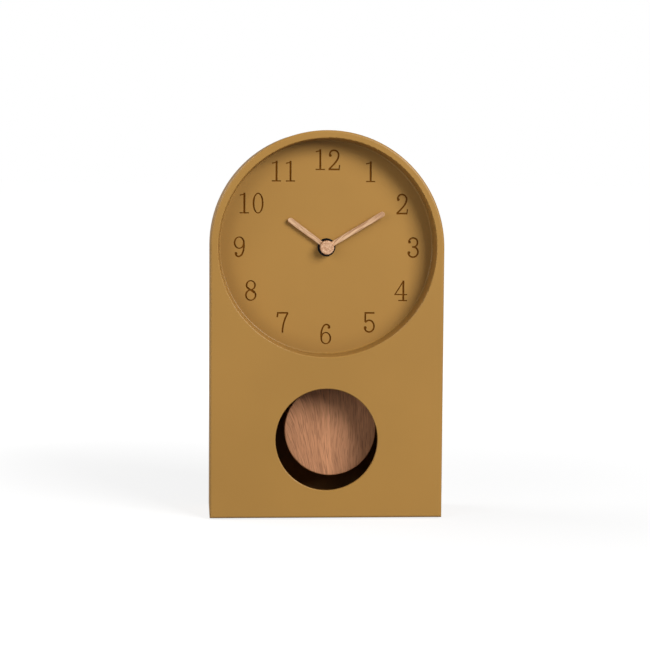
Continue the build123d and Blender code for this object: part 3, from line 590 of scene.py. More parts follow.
@dataclass(frozen=True)
class Wood(Finish):
    """Oiled wood with its grain along one line of the clock's face.

    Attributes:
        light: the palest bands.
        mid: the common tone.
        dark: the pores.
        grain_turn: turn of the place about Y that brings the grain upright, in radians.
        pore_share: how dark the pores are.
        fibre_share: how much of the tone comes from the fibres, and not from the bands.
        scales: band, fibre and pore scale, in features to the metre.
        fan: how fast the grain leans to the left of the centre, as a slope to the metre.
        centre: where the grain is straight.
        right_board: tone of a second board to the right of the centre.
        end_grain: true where the piece shows the ends of its fibres.
        seam: how far to each side the joint between the boards is soft.
        roughness: the roughness between the fibres and on them.
        specular: how strong the surface reflects, one half being common.
        grain_relief: depth and strength of the grain's relief.
    """

    light: Colour
    mid: Colour
    dark: Colour
    grain_turn: float = 0.0
    pore_share: float = 0.6
    fibre_share: float = 0.4
    scales: Triple = (110.0, 1300.0, 900.0)
    fan: float = 0.0
    centre: Triple = ORIGIN
    right_board: float = 1.0
    end_grain: bool = False
    seam: float = 0.4 * MM
    roughness: Pair = (0.62, 0.5)
    specular: float = 0.3
    grain_relief: Pair = (0.06 * MM, 0.5)

    def wire(self, wiring: Wiring, shader: bpy.types.Node) -> None:
        """Bands between two tones, fine fibres over them, and dark pores.

        Args:
            wiring: wires the material's nodes.
            shader: the material's Principled shader.
        """
        turn = (math.pi / 2, 0.0, 0.0) if self.end_grain else (0.0, self.grain_turn, 0.0)
        point = self.place(wiring, turn, self.centre)
        scales = dict(zip(("band_scale", "fibre_scale", "pore_scale"), self.scales))
        grain = self.group(wiring, Effect.GRAIN, point, fan=self.fan, **scales)
        bands = wiring.product(grain["Band"], 1.0 - self.fibre_share)
        tone = wiring.math("ADD", bands, wiring.product(grain["Fibre"], self.fibre_share))
        colour = wiring.mix(tone, self.mid, self.light)
        colour = wiring.mix(wiring.product(grain["Pore"], self.pore_share), colour, self.dark)
        if self.right_board < 1.0:
            right = wiring.ramp(wiring.parts(point)[0], -self.seam, self.seam)
            colour = wiring.mix(right, colour, toned(WHITE, self.right_board), "MULTIPLY")
        wiring.feed_all(
            shader,
            {
                "Base Color": colour,
                "Roughness": wiring.spread(grain["Fibre"], self.roughness),
                "Specular IOR Level": self.specular,
            },
        )
        self.relief(wiring, shader, grain["Height"], *self.grain_relief)


@dataclass(frozen=True)
class Moulding(Finish):
    """Plastic, rubber or laminate with a fine skin.

    Attributes:
        colour: the material's colour.
        roughness: the least and greatest roughness.
        speck_scale: features of the skin to the metre.
        depth: height of the skin's relief.
        clouding: how far the colour drifts in broad patches.
        specular: how strong the surface reflects, one half being common.
        patch_scale: broad patches to the metre.
        relief_strength: how much of the relief shows.
    """

    colour: Colour
    roughness: Pair = (0.42, 0.55)
    speck_scale: float = 1800.0
    depth: float = 0.03 * MM
    clouding: float = 0.12
    specular: float = 0.5
    patch_scale: float = 40.0
    relief_strength: float = 0.4

    def wire(self, wiring: Wiring, shader: bpy.types.Node) -> None:
        """A colour that drifts slightly, over a fine relief.

        Args:
            wiring: wires the material's nodes.
            shader: the material's Principled shader.
        """
        scales = {"patch_scale": self.patch_scale, "speck_scale": self.speck_scale}
        skin = self.group(wiring, Effect.SKIN, self.place(wiring), **scales)
        darker = toned(self.colour, 1.0 - self.clouding)
        lighter = toned(self.colour, 1.0 + self.clouding)
        wiring.feed_all(
            shader,
            {
                "Base Color": wiring.mix(skin["Patch"], darker, lighter),
                "Roughness": wiring.spread(skin["Speck"], self.roughness),
                "Specular IOR Level": self.specular,
            },
        )
        self.relief(wiring, shader, skin["Height"], self.depth, self.relief_strength)


@dataclass(frozen=True)
class Metal(Finish):
    """Bare or lacquered metal with fine drawn lines.

    Attributes:
        colour: the metal's colour.
        roughness: the least and greatest roughness.
        line_turn: turn of the place that brings the lines along Z, in radians.
        line_scale: lines to the metre.
        line_tone: tone of the lines.
        line_relief: depth and strength of the lines' relief.
    """

    colour: Colour
    roughness: Pair = (0.24, 0.4)
    line_turn: Triple = ORIGIN
    line_scale: float = 5000.0
    line_tone: float = 0.86
    line_relief: Pair = (0.01 * MM, 0.3)

    def wire(self, wiring: Wiring, shader: bpy.types.Node) -> None:
        """Metal whose shine and relief follow the lines.

        Args:
            wiring: wires the material's nodes.
            shader: the material's Principled shader.
        """
        point = self.place(wiring, self.line_turn)
        lines = self.group(wiring, Effect.LINES, point, line_scale=self.line_scale)
        darker = toned(self.colour, self.line_tone)
        wiring.feed_all(
            shader,
            {
                "Base Color": wiring.mix(lines["Streak"], darker, self.colour),
                "Metallic": 1.0,
                "Roughness": wiring.spread(lines["Streak"], self.roughness),
            },
        )
        self.relief(wiring, shader, lines["Height"], *self.line_relief)


@dataclass(frozen=True)
class BatteryJacket(Finish):
    """A plain printed jacket with bare metal ends.

    Attributes:
        jacket: colour of the main jacket.
        band: colour of the band at the positive end.
        metal: colour of the bare ends.
        band_start: where the band starts along X.
        jacket_end: how far from the middle the jacket reaches.
        cloud_tone: tone of the jacket's lighter clouds.
        roughness: the least and greatest roughness.
        skin_relief: depth and strength of the skin's relief.
    """

    jacket: Colour
    band: Colour
    metal: Colour
    band_start: float
    jacket_end: float
    cloud_tone: float = 1.15
    roughness: Pair = (0.26, 0.36)
    skin_relief: Pair = (0.01 * MM, 0.3)

    def wire(self, wiring: Wiring, shader: bpy.types.Node) -> None:
        """Colour and shine by the place along the battery.

        Args:
            wiring: wires the material's nodes.
            shader: the material's Principled shader.
        """
        point = self.place(wiring)
        along = wiring.parts(point)[0]
        banded = wiring.over(along, self.band_start)
        bare = wiring.over(wiring.math("ABSOLUTE", along), self.jacket_end)
        skin = self.group(wiring, Effect.SKIN, point, patch_scale=60.0, speck_scale=3000.0)
        colour = wiring.mix(skin["Patch"], self.jacket, toned(self.jacket, self.cloud_tone))
        colour = wiring.mix(banded, colour, self.band)
        wiring.feed_all(
            shader,
            {
                "Base Color": wiring.mix(bare, colour, self.metal),
                "Metallic": bare,
                "Roughness": wiring.spread(skin["Speck"], self.roughness),
            },
        )
        self.relief(wiring, shader, skin["Height"], *self.skin_relief)


@dataclass(frozen=True)
class Turning:
    """An axis that a profile is carried round.

    Attributes:
        origin: a point on the axis.
        along: unit direction of the axis.
        first: unit direction where the angle is zero.
    """

    origin: np.ndarray
    along: np.ndarray
    first: np.ndarray

    def points(self, shift: np.ndarray, radius: np.ndarray, angle: np.ndarray) -> np.ndarray:
        """Places in space: origin plus a shift along the axis, plus the radius at the angle.

        Args:
            shift: distances along the axis.
            radius: distances from the axis.
            angle: angles from the first direction, in radians.

        Returns:
            The points, with their three coordinates last.
        """
        second = np.cross(self.along, self.first)
        spoke = np.cos(angle)[..., None] * self.first + np.sin(angle)[..., None] * second
        return self.origin + shift[..., None] * self.along + radius[..., None] * spoke


def axis_of(node: str, along: Axis) -> tuple[Turning, float, float]:
    """The axis of a round node, from its box.

    Args:
        node: the node's name.
        along: the axis, X or Y.

    Returns:
        The axis with its origin in the middle, half the node's length, and its radius.
    """
    low, high = (np.array(corner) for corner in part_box(node))
    middle, half = (low + high) / 2, (high - low) / 2
    directions = np.eye(3)
    axis = Turning(middle, directions[along.value], directions[Axis.Z.value])
    return axis, float(half[along.value]), float(half[Axis.Z.value])


def full_turn(steps: int) -> np.ndarray:
    """Even angles round a full turn, in radians."""
    return np.linspace(0.0, 2 * math.pi, steps, endpoint=False)


def smooth_piece(name: str, points: np.ndarray, faces: list[list[int]]) -> bpy.types.Object:
    """A new smooth-shaded object at the origin.

    Args:
        name: the piece's name.
        points: its points, one to a row.
        faces: the numbers of the points round each face.

    Returns:
        The new object.
    """
    mesh = bpy.data.meshes.new(name)
    mesh.from_pydata(points.tolist(), [], faces)
    mesh.polygons.foreach_set("use_smooth", np.ones(len(mesh.polygons), dtype=bool))
    mesh.validate()
    piece = bpy.data.objects.new(name, mesh)
    bpy.context.scene.collection.objects.link(piece)
    return piece


def closed_grid(name: str, points: np.ndarray) -> bpy.types.Object:
    """A surface on a grid that closes on itself both ways, like a ring.

    Each cell of the grid is one quad between a point, the next along the profile, and the two
    beside them round the axis. An anticlockwise profile faces outwards.

    Args:
        name: the piece's name.
        points: rows round the axis, columns along the profile, and three coordinates.

    Returns:
        The new object at the origin.
    """
    rows, columns, _ = points.shape
    index = np.arange(rows * columns).reshape(rows, columns)
    ahead = np.roll(index, -1, 1)
    quads = np.stack((index, ahead, np.roll(ahead, -1, 0), np.roll(index, -1, 0)), axis=-1)
    return smooth_piece(name, points.reshape(-1, 3), quads.reshape(-1, 4).tolist())


def turned_ring(name: str, axis: Turning, loop: np.ndarray, steps: int) -> bpy.types.Object:
    """A ring whose section is a closed loop, carried round the axis.

    Args:
        name: the piece's name.
        axis: the ring's axis.
        loop: places along the axis and radii, anticlockwise.
        steps: points round the axis.

    Returns:
        The new object at the origin.
    """
    angle, shift = np.meshgrid(full_turn(steps), loop[:, 0], indexing="ij")
    return closed_grid(name, axis.points(shift, np.broadcast_to(loop[:, 1], angle.shape), angle))


def turned_bar(name: str, axis: Turning, profile: np.ndarray, steps: int) -> bpy.types.Object:
    """A round bar whose profile runs from one end of its axis to the other.

    All but the two end points are carried round the axis. Neighbours make quads, and each end
    closes with triangles that meet in one point.

    Args:
        name: the piece's name.
        axis: the bar's axis.
        profile: places along the axis and radii, from the far end to the near one.
        steps: points round the axis.

    Returns:
        The new object at the origin.
    """
    angle, shift = np.meshgrid(full_turn(steps), profile[1:-1, 0], indexing="ij")
    radius = np.broadcast_to(profile[1:-1, 1], angle.shape)
    rings = axis.points(shift, radius, angle).reshape(-1, 3)
    ends = axis.points(profile[[0, -1], 0], np.zeros(2), np.zeros(2))
    index = np.arange(len(rings)).reshape(angle.shape)
    beside = np.roll(index, -1, 0)
    corners = (index[:, :-1], index[:, 1:], beside[:, 1:], beside[:, :-1])
    quads = np.stack(corners, axis=-1).reshape(-1, 4)
    first = np.stack((np.full(steps, len(rings)), index[:, 0], beside[:, 0]), axis=-1)
    last = np.stack((np.full(steps, len(rings) + 1), beside[:, -1], index[:, -1]), axis=-1)
    faces = quads.tolist() + first.tolist() + last.tolist()
    return smooth_piece(name, np.vstack([rings, ends]), faces)


def ring_corners(half: float, inner: float, outer: float) -> np.ndarray:
    """The corners of a ring's square section, as places along its axis and radii."""
    return np.array([(-half, outer), (-half, inner), (half, inner), (half, outer)])


def rounded_loop(corners: np.ndarray, rounding: float, steps: int) -> np.ndarray:
    """A closed outline with each corner replaced by a curve.

    The curve at a corner is a quadratic one from a point before it to a point after it, with the
    corner as its handle: (1-t)^2 before + 2t(1-t) corner + t^2 after.

    Args:
        corners: the outline's corners, in order.
        rounding: how far from the corner the curve starts.
        steps: points on each curve.

    Returns:
        The points of the loop.
    """
    before = np.roll(corners, 1, 0) - corners
    after = np.roll(corners, -1, 0) - corners
    before = corners + rounding * before / np.linalg.norm(before, axis=1, keepdims=True)
    after = corners + rounding * after / np.linalg.norm(after, axis=1, keepdims=True)
    before, handle, after = before[:, None], corners[:, None], after[:, None]
    t = np.linspace(0.0, 1.0, steps)[None, :, None]
    return ((1 - t) ** 2 * before + 2 * t * (1 - t) * handle + t**2 * after).reshape(-1, 2)


def even_loop(loop: np.ndarray, count: int) -> np.ndarray:
    """The same closed outline with points at even steps of its length.

    Args:
        loop: the outline's points.
        count: how many points the new one has.

    Returns:
        The new points.
    """
    closed = np.vstack([loop, loop[:1]])
    reach = np.concatenate([[0.0], np.cumsum(np.linalg.norm(np.diff(closed, axis=0), axis=1))])
    steps = np.linspace(0.0, reach[-1], count, endpoint=False)
    return np.stack([np.interp(steps, reach, closed[:, part]) for part in range(2)], axis=-1)


def outward(loop: np.ndarray) -> np.ndarray:
    """Unit normals of a closed outline that runs anticlockwise.

    Each is the line between a point's two neighbours, turned a quarter clockwise.

    Args:
        loop: the outline's points.

    Returns:
        One normal for each point.
    """
    tangent = np.roll(loop, -1, 0) - np.roll(loop, 1, 0)
    normal = np.stack([tangent[:, 1], -tangent[:, 0]], axis=-1)
    return normal / np.linalg.norm(normal, axis=1, keepdims=True)


class Dresser:
    """Assigns finishes to nodes and puts new pieces in their nodes' places."""

    def __init__(self, frame: dict[str, Any]) -> None:
        """Takes the loaded frame."""
        self.frame = frame

    def dress(self, finish: Finish, *nodes: str) -> bpy.types.Material:
        """Gives the objects of some nodes one new material in every slot.

        Args:
            finish: the finish to build.
            *nodes: the nodes that take it.

        Returns:
            The new material.
        """
        material = finish.build()
        for node in nodes:
            for slot in self.frame["nodes"][node].material_slots:
                slot.material = material
            LOG.info("dressed %s with %s", node, material.name)
        return material

    def stand_for(
        self, piece: bpy.types.Object, node: str, body: str, slot: str, finish: bpy.types.Material
    ) -> None:
        """Puts a finer piece in a node's place.

        Args:
            piece: the new piece.
            node: the node that it stands for.
            body: the body that it moves with.
            slot: the record's slot that its finish belongs to; not used.
            finish: its material.
        """
        piece.data.materials.append(finish)
        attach(piece, body)
        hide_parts(node)
        LOG.info("made %s for %s: %d faces", piece.name, node, len(piece.data.polygons))


@dataclass
class CaseAssembly:
    """The painted shell, its rear cover, screws and pads.

    Attributes:
        dresser: assigns the finishes.
        wall: the shell's wall.
        cup_wall: wall round the sunk dial.
        rim_width: flat rim round the dial.
        painted_shade_depth: how deep in the recess the corner's painted shade starts.
        groove_shade_depth: how deep in a numeral its painted shade starts.
        dial_share: how far through the dial its paint is taken to go, as a share.
        front_share: how far through the front wall the inside starts, as a share.
        side_share: the same for the sides and the floor.
    """

    dresser: Dresser
    wall: float = 2.5 * MM
    cup_wall: float = 4.0 * MM
    rim_width: float = 6.0 * MM
    painted_shade_depth: float = 3.0 * MM
    groove_shade_depth: float = 0.1 * MM
    dial_share: float = 0.55
    front_share: float = 0.85
    side_share: float = 0.9

    def shell_paint(self) -> ShellPaint:
        """The shell's finish, with places from the boxes of the shell and what clamps the dial.

        Returns:
            The finish.
        """
        low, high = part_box("front_shell")
        half_width = high.x
        dial_front, dial_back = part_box("dial_washer")[1].y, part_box("dial_gasket")[0].y
        return ShellPaint(
            name="satin_ochre_paint",
            paint=(0.398, 0.211, 0.050),
            # Painted shade: a dark brown for the shadow in the numerals' grooves.
            groove_shade_colour=(0.160, 0.055, 0.004),
            bare=(0.430, 0.260, 0.078),
            dial_height=high.z - half_width,
            cup_radius=half_width - self.rim_width + self.cup_wall / 2,
            # Painted shade in the corner round the sunk dial.
            painted_corner_shade=0.15,
            painted_shade_start=low.y + self.painted_shade_depth,
            groove_start=dial_front + self.groove_shade_depth,
            groove_end=dial_front + self.dial_share * (dial_back - dial_front),
            inside_start=low.y + self.front_share * self.wall,
            inside_radius=half_width - self.side_share * self.wall,
            inside_floor=low.z + self.side_share * self.wall,
        )

    def build(self) -> None:
        """Dresses the case."""
        dress = self.dresser.dress
        dress(self.shell_paint(), "front_shell")
        cover = Moulding(
            "brown_cover",
            colour=(0.180, 0.096, 0.037),
            roughness=(0.5, 0.62),
            speck_scale=1500.0,
            depth=0.06 * MM,
            specular=0.15,
        )
        dress(cover, "rear_cover")
        blackened = Metal("blackened_screw", (0.09, 0.09, 0.088), roughness=(0.3, 0.45))
        dress(blackened, "rear_cover_screws")
        rubber = Moulding(
            "soft_rubber",
            colour=(0.022, 0.021, 0.020),
            roughness=(0.7, 0.85),
            speck_scale=2200.0,
            depth=0.05 * MM,
        )
        dress(rubber, "foot_pads", "dial_gasket")


@dataclass
class HandsAssembly:
    """The wooden hands, their cap and what clamps the movement to the dial.

    Attributes:
        dresser: assigns the finishes.
        hour_angle: the hour hand's angle from twelve, clockwise.
        minute_angle: the minute hand's angle from twelve, clockwise.
        hour_tone: tone of the hour hand's wood.
        minute_tone: tone of the minute hand's wood.
        nut_bore: radius of the nut's bore.
        nut_rounding: how far from its corners the nut is rounded.
    """

    dresser: Dresser
    hour_angle: float = math.radians(306.4)
    minute_angle: float = math.radians(58.9)
    hour_tone: float = 0.93
    minute_tone: float = 0.94
    nut_bore: float = 4.05 * MM
    nut_rounding: float = 0.35 * MM

    @staticmethod
    def stick_wood(name: str, angle: float, tone: float) -> Wood:
        """Pale wood with its grain along a hand.

        Args:
            name: the material's name.
            angle: the hand's angle from twelve, clockwise.
            tone: how dark the wood is, one being the palest.

        Returns:
            The finish.
        """
        return Wood(
            name,
            light=toned((0.92, 0.615, 0.37), tone),
            mid=toned((0.46, 0.245, 0.122), tone),
            dark=toned((0.34, 0.155, 0.070), tone),
            grain_turn=-angle,
            pore_share=0.75,
            fibre_share=0.6,
            scales=(330.0, 760.0, 1500.0),
        )

    def nut(self) -> bpy.types.Object:
        """The round nut on the bush, a ring with soft corners.

        Returns:
            The new piece.
        """
        axis, half, radius = axis_of("dial_nut", Axis.Y)
        corners = ring_corners(half, self.nut_bore, radius)
        loop = even_loop(rounded_loop(corners, self.nut_rounding, steps=8), count=120)
        return turned_ring("soft_nut", axis, loop, steps=128)

    def build(self) -> None:
        """Dresses the hands, the cap, the nut and the bushes."""
        dress = self.dresser.dress
        hour_wood = self.stick_wood("hour_hand_wood", self.hour_angle, self.hour_tone)
        minute_wood = self.stick_wood("minute_hand_wood", self.minute_angle, self.minute_tone)
        dress(hour_wood, "hour_hand")
        dress(minute_wood, "minute_hand")
        cap = Wood(
            "cap_end_grain",
            light=(0.86, 0.565, 0.36),
            mid=(0.43, 0.195, 0.088),
            dark=(0.30, 0.12, 0.05),
            pore_share=0.5,
            fibre_share=0.6,
            scales=(480.0, 800.0, 1100.0),
            end_grain=True,
        )
        dress(cap, "hand_cap")
        black = Moulding(
            "black_nut",
            colour=(0.005, 0.004, 0.004),
            roughness=(0.16, 0.22),
            speck_scale=3000.0,
            depth=0.01 * MM,
            specular=0.18,
        )
        self.dresser.stand_for(self.nut(), "dial_nut", "case", "black_metal", black.build())
        dress(
            Metal("turned_brass", (0.62, 0.42, 0.16)),
            "dial_washer",
            "centre_bush",
            "hour_hand_bush",
            "minute_hand_bush",
            "minute_spindle",
        )


@dataclass
class MovementAssembly:
    """The battery movement behind the dial.

    Attributes:
        dresser: assigns the finishes.
        knob_bore: radius of the knob's bore.
        knob_flutes: grips round the knob.
        flute_steps: points round one grip.
        flute_depth: how deep a grip is.
        knob_dish: how deep the knob's rear face is dished.
        knob_waist: radius of the dish's floor, as a share of the knob's.
        knob_rounding: how far from its corners the knob is rounded.
        coil_bore: radius of the drive coil's bore.
        winding_bore: radius of the motor winding's bore.
        wire: thickness of the coil wire as it shows.
        nub_radius: radius of the battery's positive nub.
        nub_length: how far the nub stands out.
        crimp: how far the battery's rims are crimped along it.
        end_sink: how deep the battery's ends lie in their rims.
        band_length: how long the jacket's band and what is past it are.
        bare_length: how long the bare metal at each end is.
        white_nodes: what is moulded in white.
        steel_nodes: what is plain steel.
    """

    dresser: Dresser
    knob_bore: float = 1.3 * MM
    knob_flutes: int = 24
    flute_steps: int = 16
    flute_depth: float = 0.55 * MM
    knob_dish: float = 0.5 * MM
    knob_waist: float = 0.6
    knob_rounding: float = 0.35 * MM
    coil_bore: float = 2.6 * MM
    winding_bore: float = 1.85 * MM
    wire: float = 0.35 * MM
    nub_radius: float = 2.7 * MM
    nub_length: float = 1.5 * MM
    crimp: float = 0.7 * MM
    end_sink: float = 0.35 * MM
    band_length: float = 12.0 * MM
    bare_length: float = 1.9 * MM
    white_nodes: tuple[str, ...] = (
        "train_bridge",
        "coil_bobbin",
        "hour_wheel",
        "minute_wheel",
        "setting_arbor",
        "rotor_pinion",
        "intermediate_wheel",
        "seconds_wheel",
        "third_wheel",
        "centre_wheel",
    )
    steel_nodes: tuple[str, ...] = (
        "movement_screws",
        "stator",
        "coil_core",
        "quartz_crystal",
        "positive_contact",
        "negative_contact",
        "pivot_pin",
        "pivot_clip",
    )

    def wound(self, name: str, node: str, along: Axis, bore: float) -> bpy.types.Object:
        """A coil of wire, as a ring whose skin ripples along a helix.

        The ring's section is a rounded rectangle. Each point moves out by the wire's ripple,
        cos(2 pi (turn number along the section) - angle), so the ridges climb one wire a turn.

        Args:
            name: the piece's name.
            node: the node that gives its size.
            along: its axis.
            bore: radius of its bore.

        Returns:
            The new piece.
        """
        axis, half, radius = axis_of(node, along)
        ripple = self.wire / 4
        corners = ring_corners(half - ripple, bore + ripple, radius - ripple)
        loop = even_loop(rounded_loop(corners, 2 * self.wire, steps=6), count=360)
        reach = np.linalg.norm(np.roll(loop, -1, 0) - loop, axis=1).sum()
        ridges = round(reach / self.wire)
        shares = np.arange(len(loop)) / len(loop)
        angle, share = np.meshgrid(full_turn(steps=96), shares, indexing="ij")
        wave = ripple * np.cos(2 * math.pi * ridges * share - angle)
        normal = outward(loop)
        shift = loop[:, 0] + wave * normal[:, 0]
        spoke = loop[:, 1] + wave * normal[:, 1]
        return closed_grid(name, axis.points(shift, spoke, angle))

    def knob(self) -> bpy.types.Object:
        """The fluted setting knob.

        Its section is a rounded rectangle, dished on the rear face. The outer wall moves in by
        flute depth times (1 + cos(flutes angle)) / 2, in step with how far out the point is.

        Returns:
            The new piece.
        """
        axis, half, radius = axis_of("setting_knob", Axis.Y)
        floor, waist = half - self.knob_dish, self.knob_waist * radius
        rim = waist + self.knob_dish
        corners = np.array(
            [
                (-half, radius),
                (-half, self.knob_bore),
                (floor, self.knob_bore),
                (floor, waist),
                (half, rim),
                (half, radius),
            ]
        )
        loop = even_loop(rounded_loop(corners, self.knob_rounding, steps=6), count=120)
        turns = full_turn(self.flute_steps * self.knob_flutes)
        angle, shift = np.meshgrid(turns, loop[:, 0], indexing="ij")
        share = np.clip((loop[:, 1] - rim) / (radius - rim), 0.0, 1.0)
        cut = self.flute_depth * (1 + np.cos(self.knob_flutes * angle)) / 2
        return closed_grid("fluted_knob", axis.points(shift, loop[:, 1] - cut * share, angle))

    def cell(self) -> bpy.types.Object:
        """The battery, turned from a profile with a crimped rim at each end and a domed nub.

        The profile starts in the middle of the nub, goes out over the positive rim, along the
        jacket and over the negative rim, and ends in the middle of the negative end.

        Returns:
            The new piece.
        """
        axis, half, radius = axis_of("battery", Axis.X)
        nub, sink = self.nub_radius, self.end_sink
        shoulder = half - self.nub_length
        profile = np.array(
            [
                (half, 0.0),
                (half, nub - 0.4 * MM),
                (half - 0.12 * MM, nub - 0.12 * MM),
                (half - 0.4 * MM, nub),
                (shoulder - sink, nub),
                (shoulder - sink, radius - 2.0 * MM),
                (shoulder - 0.1 * MM, radius - 1.6 * MM),
                (shoulder, radius - 1.2 * MM),
                (shoulder - 0.2 * MM, radius - 0.25 * MM),
                (shoulder - self.crimp, radius),
                (-half + self.crimp, radius),
                (-half + 0.2 * MM, radius - 0.25 * MM),
                (-half, radius - 1.2 * MM),
                (-half + sink, radius - 1.8 * MM),
                (-half + sink, 3.4 * MM),
                (-half + 0.05 * MM, 3.0 * MM),
                (-half, 0.0),
            ]
        )
        return turned_bar("battery_cell", axis, profile, steps=96)

    def build(self) -> None:
        """Dresses the movement and makes its coils, knob and battery."""
        dress, stand_for = self.dresser.dress, self.dresser.stand_for
        black = Moulding(
            "housing_black",
            colour=(0.020, 0.020, 0.021),
            roughness=(0.32, 0.45),
            speck_scale=1200.0,
            depth=0.02 * MM,
        )
        housing = dress(black, "movement_tray", "movement_back")
        white = Moulding(
            "gear_white",
            colour=(0.74, 0.73, 0.69),
            roughness=(0.38, 0.5),
            speck_scale=1600.0,
            depth=0.01 * MM,
            clouding=0.03,
        )
        dress(white, *self.white_nodes)
        dress(Metal("plain_steel", (0.56, 0.56, 0.55)), *self.steel_nodes)
        magnet = Metal("sintered_magnet", (0.16, 0.16, 0.165), roughness=(0.4, 0.55))
        dress(magnet, "rotor_magnet", "pendulum_magnet")
        board = Moulding("board_green", (0.020, 0.11, 0.045), (0.3, 0.42), speck_scale=900.0)
        dress(board, "circuit_board")
        resin = Moulding("chip_resin", (0.010, 0.010, 0.011), (0.12, 0.2), speck_scale=600.0)
        dress(resin, "board_chip")
        stand_for(self.knob(), "setting_knob", "setting_set", "housing_plastic", housing)
        copper = Metal("lacquered_copper", (0.62, 0.22, 0.08), roughness=(0.22, 0.34)).build()
        coil = self.wound("drive_winding", "drive_coil", Axis.Y, self.coil_bore)
        stand_for(coil, "drive_coil", "case", "copper", copper)
        winding = self.wound("step_winding", "motor_winding", Axis.X, self.winding_bore)
        stand_for(winding, "motor_winding", "case", "copper", copper)
        battery_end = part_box("battery")[1].x
        jacket = BatteryJacket(
            "battery_jacket",
            jacket=(0.030, 0.042, 0.060),
            band=(0.42, 0.43, 0.44),
            metal=(0.62, 0.62, 0.60),
            band_start=battery_end - self.band_length,
            jacket_end=battery_end - self.bare_length,
        )
        stand_for(self.cell(), "battery", "case", "battery_jacket", jacket.build())


@dataclass
class PendulumAssembly:
    """The arm, rod, bob and its clip.

    Attributes:
        dresser: assigns the finishes.
        swing: how far the pendulum is swung to the right at rest.
    """

    dresser: Dresser
    swing: float = math.radians(2.5)

    def build(self) -> None:
        """Dresses the pendulum."""
        dress = self.dresser.dress
        low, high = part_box("pendulum_bob")
        bob = Wood(
            "bob_wood",
            light=(0.675, 0.314, 0.154),
            mid=(0.43, 0.193, 0.091),
            dark=(0.21, 0.088, 0.041),
            grain_turn=self.swing,
            pore_share=0.5,
            fibre_share=0.55,
            scales=(110.0, 640.0, 1700.0),
            fan=14.0,
            centre=tuple((low + high) / 2),
            right_board=0.88,
        )
        dress(bob, "pendulum_bob")
        arm = Moulding("arm_white", (0.74, 0.73, 0.69), (0.38, 0.5), speck_scale=1600.0)
        dress(arm, "pendulum_arm")
        steel = Metal("rod_steel", (0.56, 0.56, 0.55), line_turn=(0.0, self.swing, 0.0))
        dress(steel, "pendulum_rod", "bob_clip", "bob_screws")


@dataclass(frozen=True)
class SoftLamp:
    """A large square lamp that looks at the middle of the clock's front.

    Attributes:
        name: the lamp's name.
        place: where it stands, from the middle of the front.
        size: its side.
        power: its power in watts.
    """

    name: str
    place: Triple
    size: float
    power: float

    def build(self, front: Vector) -> None:
        """Stands the lamp up and turns it to the front's middle.

        Args:
            front: the middle of the front.
        """
        lamp = bpy.data.lights.new(self.name, "AREA")
        lamp.shape = "SQUARE"
        lamp.size = self.size
        lamp.energy = self.power
        stand = bpy.data.objects.new(self.name, lamp)
        stand.location = front + Vector(self.place)
        stand.rotation_euler = (-Vector(self.place)).to_track_quat("-Z", "Y").to_euler()
        bpy.context.scene.collection.objects.link(stand)


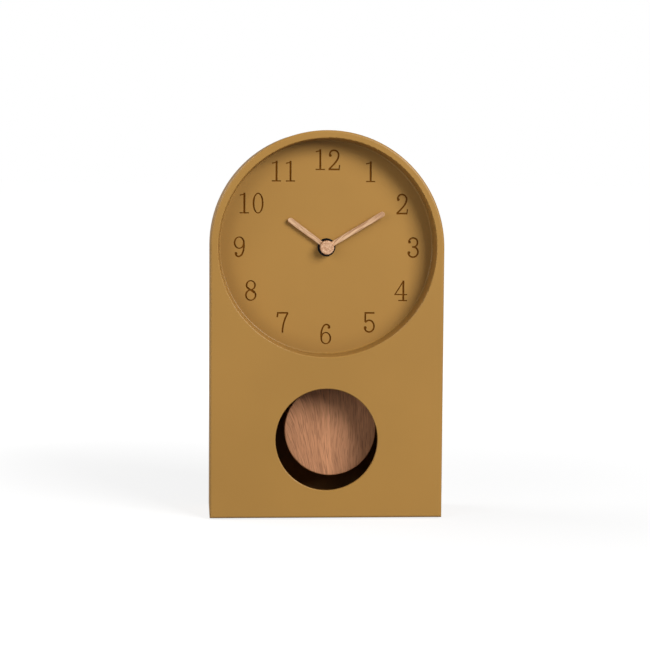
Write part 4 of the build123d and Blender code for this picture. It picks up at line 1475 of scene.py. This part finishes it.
@dataclass
class Studio:
    """The floor, the light and the camera.

    Attributes:
        lamps: the key lamp at the upper right, a weaker one at the left and one for the left side.
        ambient: strength of the light from all round.
        mirrored: how bright a reflection shows the white surroundings.
        floor_reach: how far the floor goes to each side.
        floor_colour: the floor's colour.
        floor_roughness: the floor's roughness.
        lift_near: what the camera sees on top of the lit floor beside the clock.
        lift_far: what it sees on top far from the clock, where the lamps don't reach.
        lift_reach: how far from the clock the first ends and the second starts.
        camera_place: where the camera stands.
        camera_yaw: the camera's turn to the right.
        camera_pitch: the camera's tilt down.
        camera_roll: the camera's roll.
        camera_clip: how near to the camera a thing still shows.
        focal_pixels: focal length in pixels of the square image.
    """

    lamps: tuple[SoftLamp, ...] = (
        SoftLamp("key_lamp", place=(1.50, -2.0, 1.25), size=1.4, power=82.0),
        SoftLamp("left_lamp", place=(-2.3, -2.2, 0.85), size=2.4, power=41.0),
        SoftLamp("side_lamp", place=(-1.8, 0.6, 1.3), size=1.4, power=26.0),
    )
    ambient: float = 0.01
    mirrored: float = 0.3
    floor_reach: float = 30.0
    floor_colour: float = 0.25
    floor_roughness: float = 0.9
    lift_near: float = 0.80
    lift_far: float = 1.0
    lift_reach: Pair = (0.2, 0.9)
    camera_place: Triple = (-0.106, -1.535, 0.2713)
    camera_yaw: float = math.radians(3.9725)
    camera_pitch: float = math.radians(4.5779)
    camera_roll: float = math.radians(0.3990)
    camera_clip: float = 0.05
    focal_pixels: float = 1963.5

    def seen_directly(self, wiring: Wiring) -> Socket:
        """One on rays from the camera or through glass, and less than one on reflected ones.

        Args:
            wiring: wires the nodes of the floor's material or of the world.

        Returns:
            The value.
        """
        path = wiring.add("ShaderNodeLightPath").outputs
        reflected = wiring.product(path["Is Glossy Ray"], self.mirrored)
        shown = wiring.math("MAXIMUM", path["Is Camera Ray"], reflected)
        return wiring.math("MAXIMUM", shown, path["Is Transmission Ray"])

    def build_floor(self) -> None:
        """A wide pale floor that keeps the shadow."""
        corners = self.floor_reach * np.array([(-1, -1, 0), (1, -1, 0), (1, 1, 0), (-1, 1, 0)])
        mesh = bpy.data.meshes.new("floor")
        mesh.from_pydata(corners.tolist(), [], [(0, 1, 2, 3)])
        floor = bpy.data.objects.new("floor", mesh)
        bpy.context.scene.collection.objects.link(floor)
        material = bpy.data.materials.new("pale_floor")
        material.use_nodes = True
        wiring = Wiring(material.node_tree)
        across, back, _ = wiring.parts(Finish.place(wiring))
        reach = wiring.length(across, back)
        lift = wiring.ramp(reach, *self.lift_reach, self.lift_near, self.lift_far)
        wiring.feed_all(
            material.node_tree.nodes["Principled BSDF"],
            {
                "Base Color": rgba(toned(WHITE, self.floor_colour)),
                "Roughness": self.floor_roughness,
                "Specular IOR Level": 0.0,
                "Emission Color": rgba(WHITE),
                "Emission Strength": wiring.product(self.seen_directly(wiring), lift),
            },
        )
        mesh.materials.append(material)

    def build_world(self) -> None:
        """White where it is seen, and a soft even light elsewhere."""
        world = bpy.data.worlds.new("studio")
        world.use_nodes = True
        bpy.context.scene.world = world
        wiring = Wiring(world.node_tree)
        inputs = {"Value": self.seen_directly(wiring), "To Min": self.ambient, "To Max": 1.0}
        strength = wiring.add("ShaderNodeMapRange", inputs).outputs["Result"]
        background = world.node_tree.nodes["Background"]
        wiring.feed_all(background, {"Color": rgba(WHITE), "Strength": strength})

    def build_lamps(self) -> None:
        """Stands each lamp up before the clock's front."""
        low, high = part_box("front_shell")
        front = Vector(((low.x + high.x) / 2, low.y, (low.z + high.z) / 2))
        for lamp in self.lamps:
            lamp.build(front)

    def build_camera(self) -> None:
        """The camera at the photograph's angle."""
        yaw, pitch, roll = self.camera_yaw, self.camera_pitch, self.camera_roll
        forward = Vector(
            (math.sin(yaw) * math.cos(pitch), math.cos(yaw) * math.cos(pitch), -math.sin(pitch))
        )
        right = Vector((math.cos(yaw), -math.sin(yaw), 0.0))
        up = right.cross(forward)
        right, up = (
            right * math.cos(roll) + up * math.sin(roll),
            up * math.cos(roll) - right * math.sin(roll),
        )
        lens = bpy.data.cameras.new("camera")
        lens.sensor_fit = "HORIZONTAL"
        lens.lens = lens.sensor_width * self.focal_pixels / IMAGE_PIXELS
        lens.clip_start = self.camera_clip
        camera = bpy.data.objects.new("camera", lens)
        turn = Matrix((right, up, -forward)).transposed().to_4x4()
        camera.matrix_world = Matrix.Translation(Vector(self.camera_place)) @ turn
        bpy.context.scene.collection.objects.link(camera)
        bpy.context.scene.camera = camera

    def build(self) -> None:
        """Makes the whole stage."""
        bpy.context.scene.view_settings.view_transform = "Standard"
        self.build_floor()
        self.build_world()
        self.build_lamps()
        self.build_camera()
        LOG.info("stage, light and camera are in place")


def main() -> None:
    """Loads the frame, dresses each sub-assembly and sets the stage."""
    logging.basicConfig(level=logging.INFO, format="%(name)s: %(message)s")
    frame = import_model()
    dresser = Dresser(frame)
    for assembly in (CaseAssembly, HandsAssembly, MovementAssembly, PendulumAssembly):
        assembly(dresser).build()
    Studio().build()


if __name__ == "__main__":
    main()
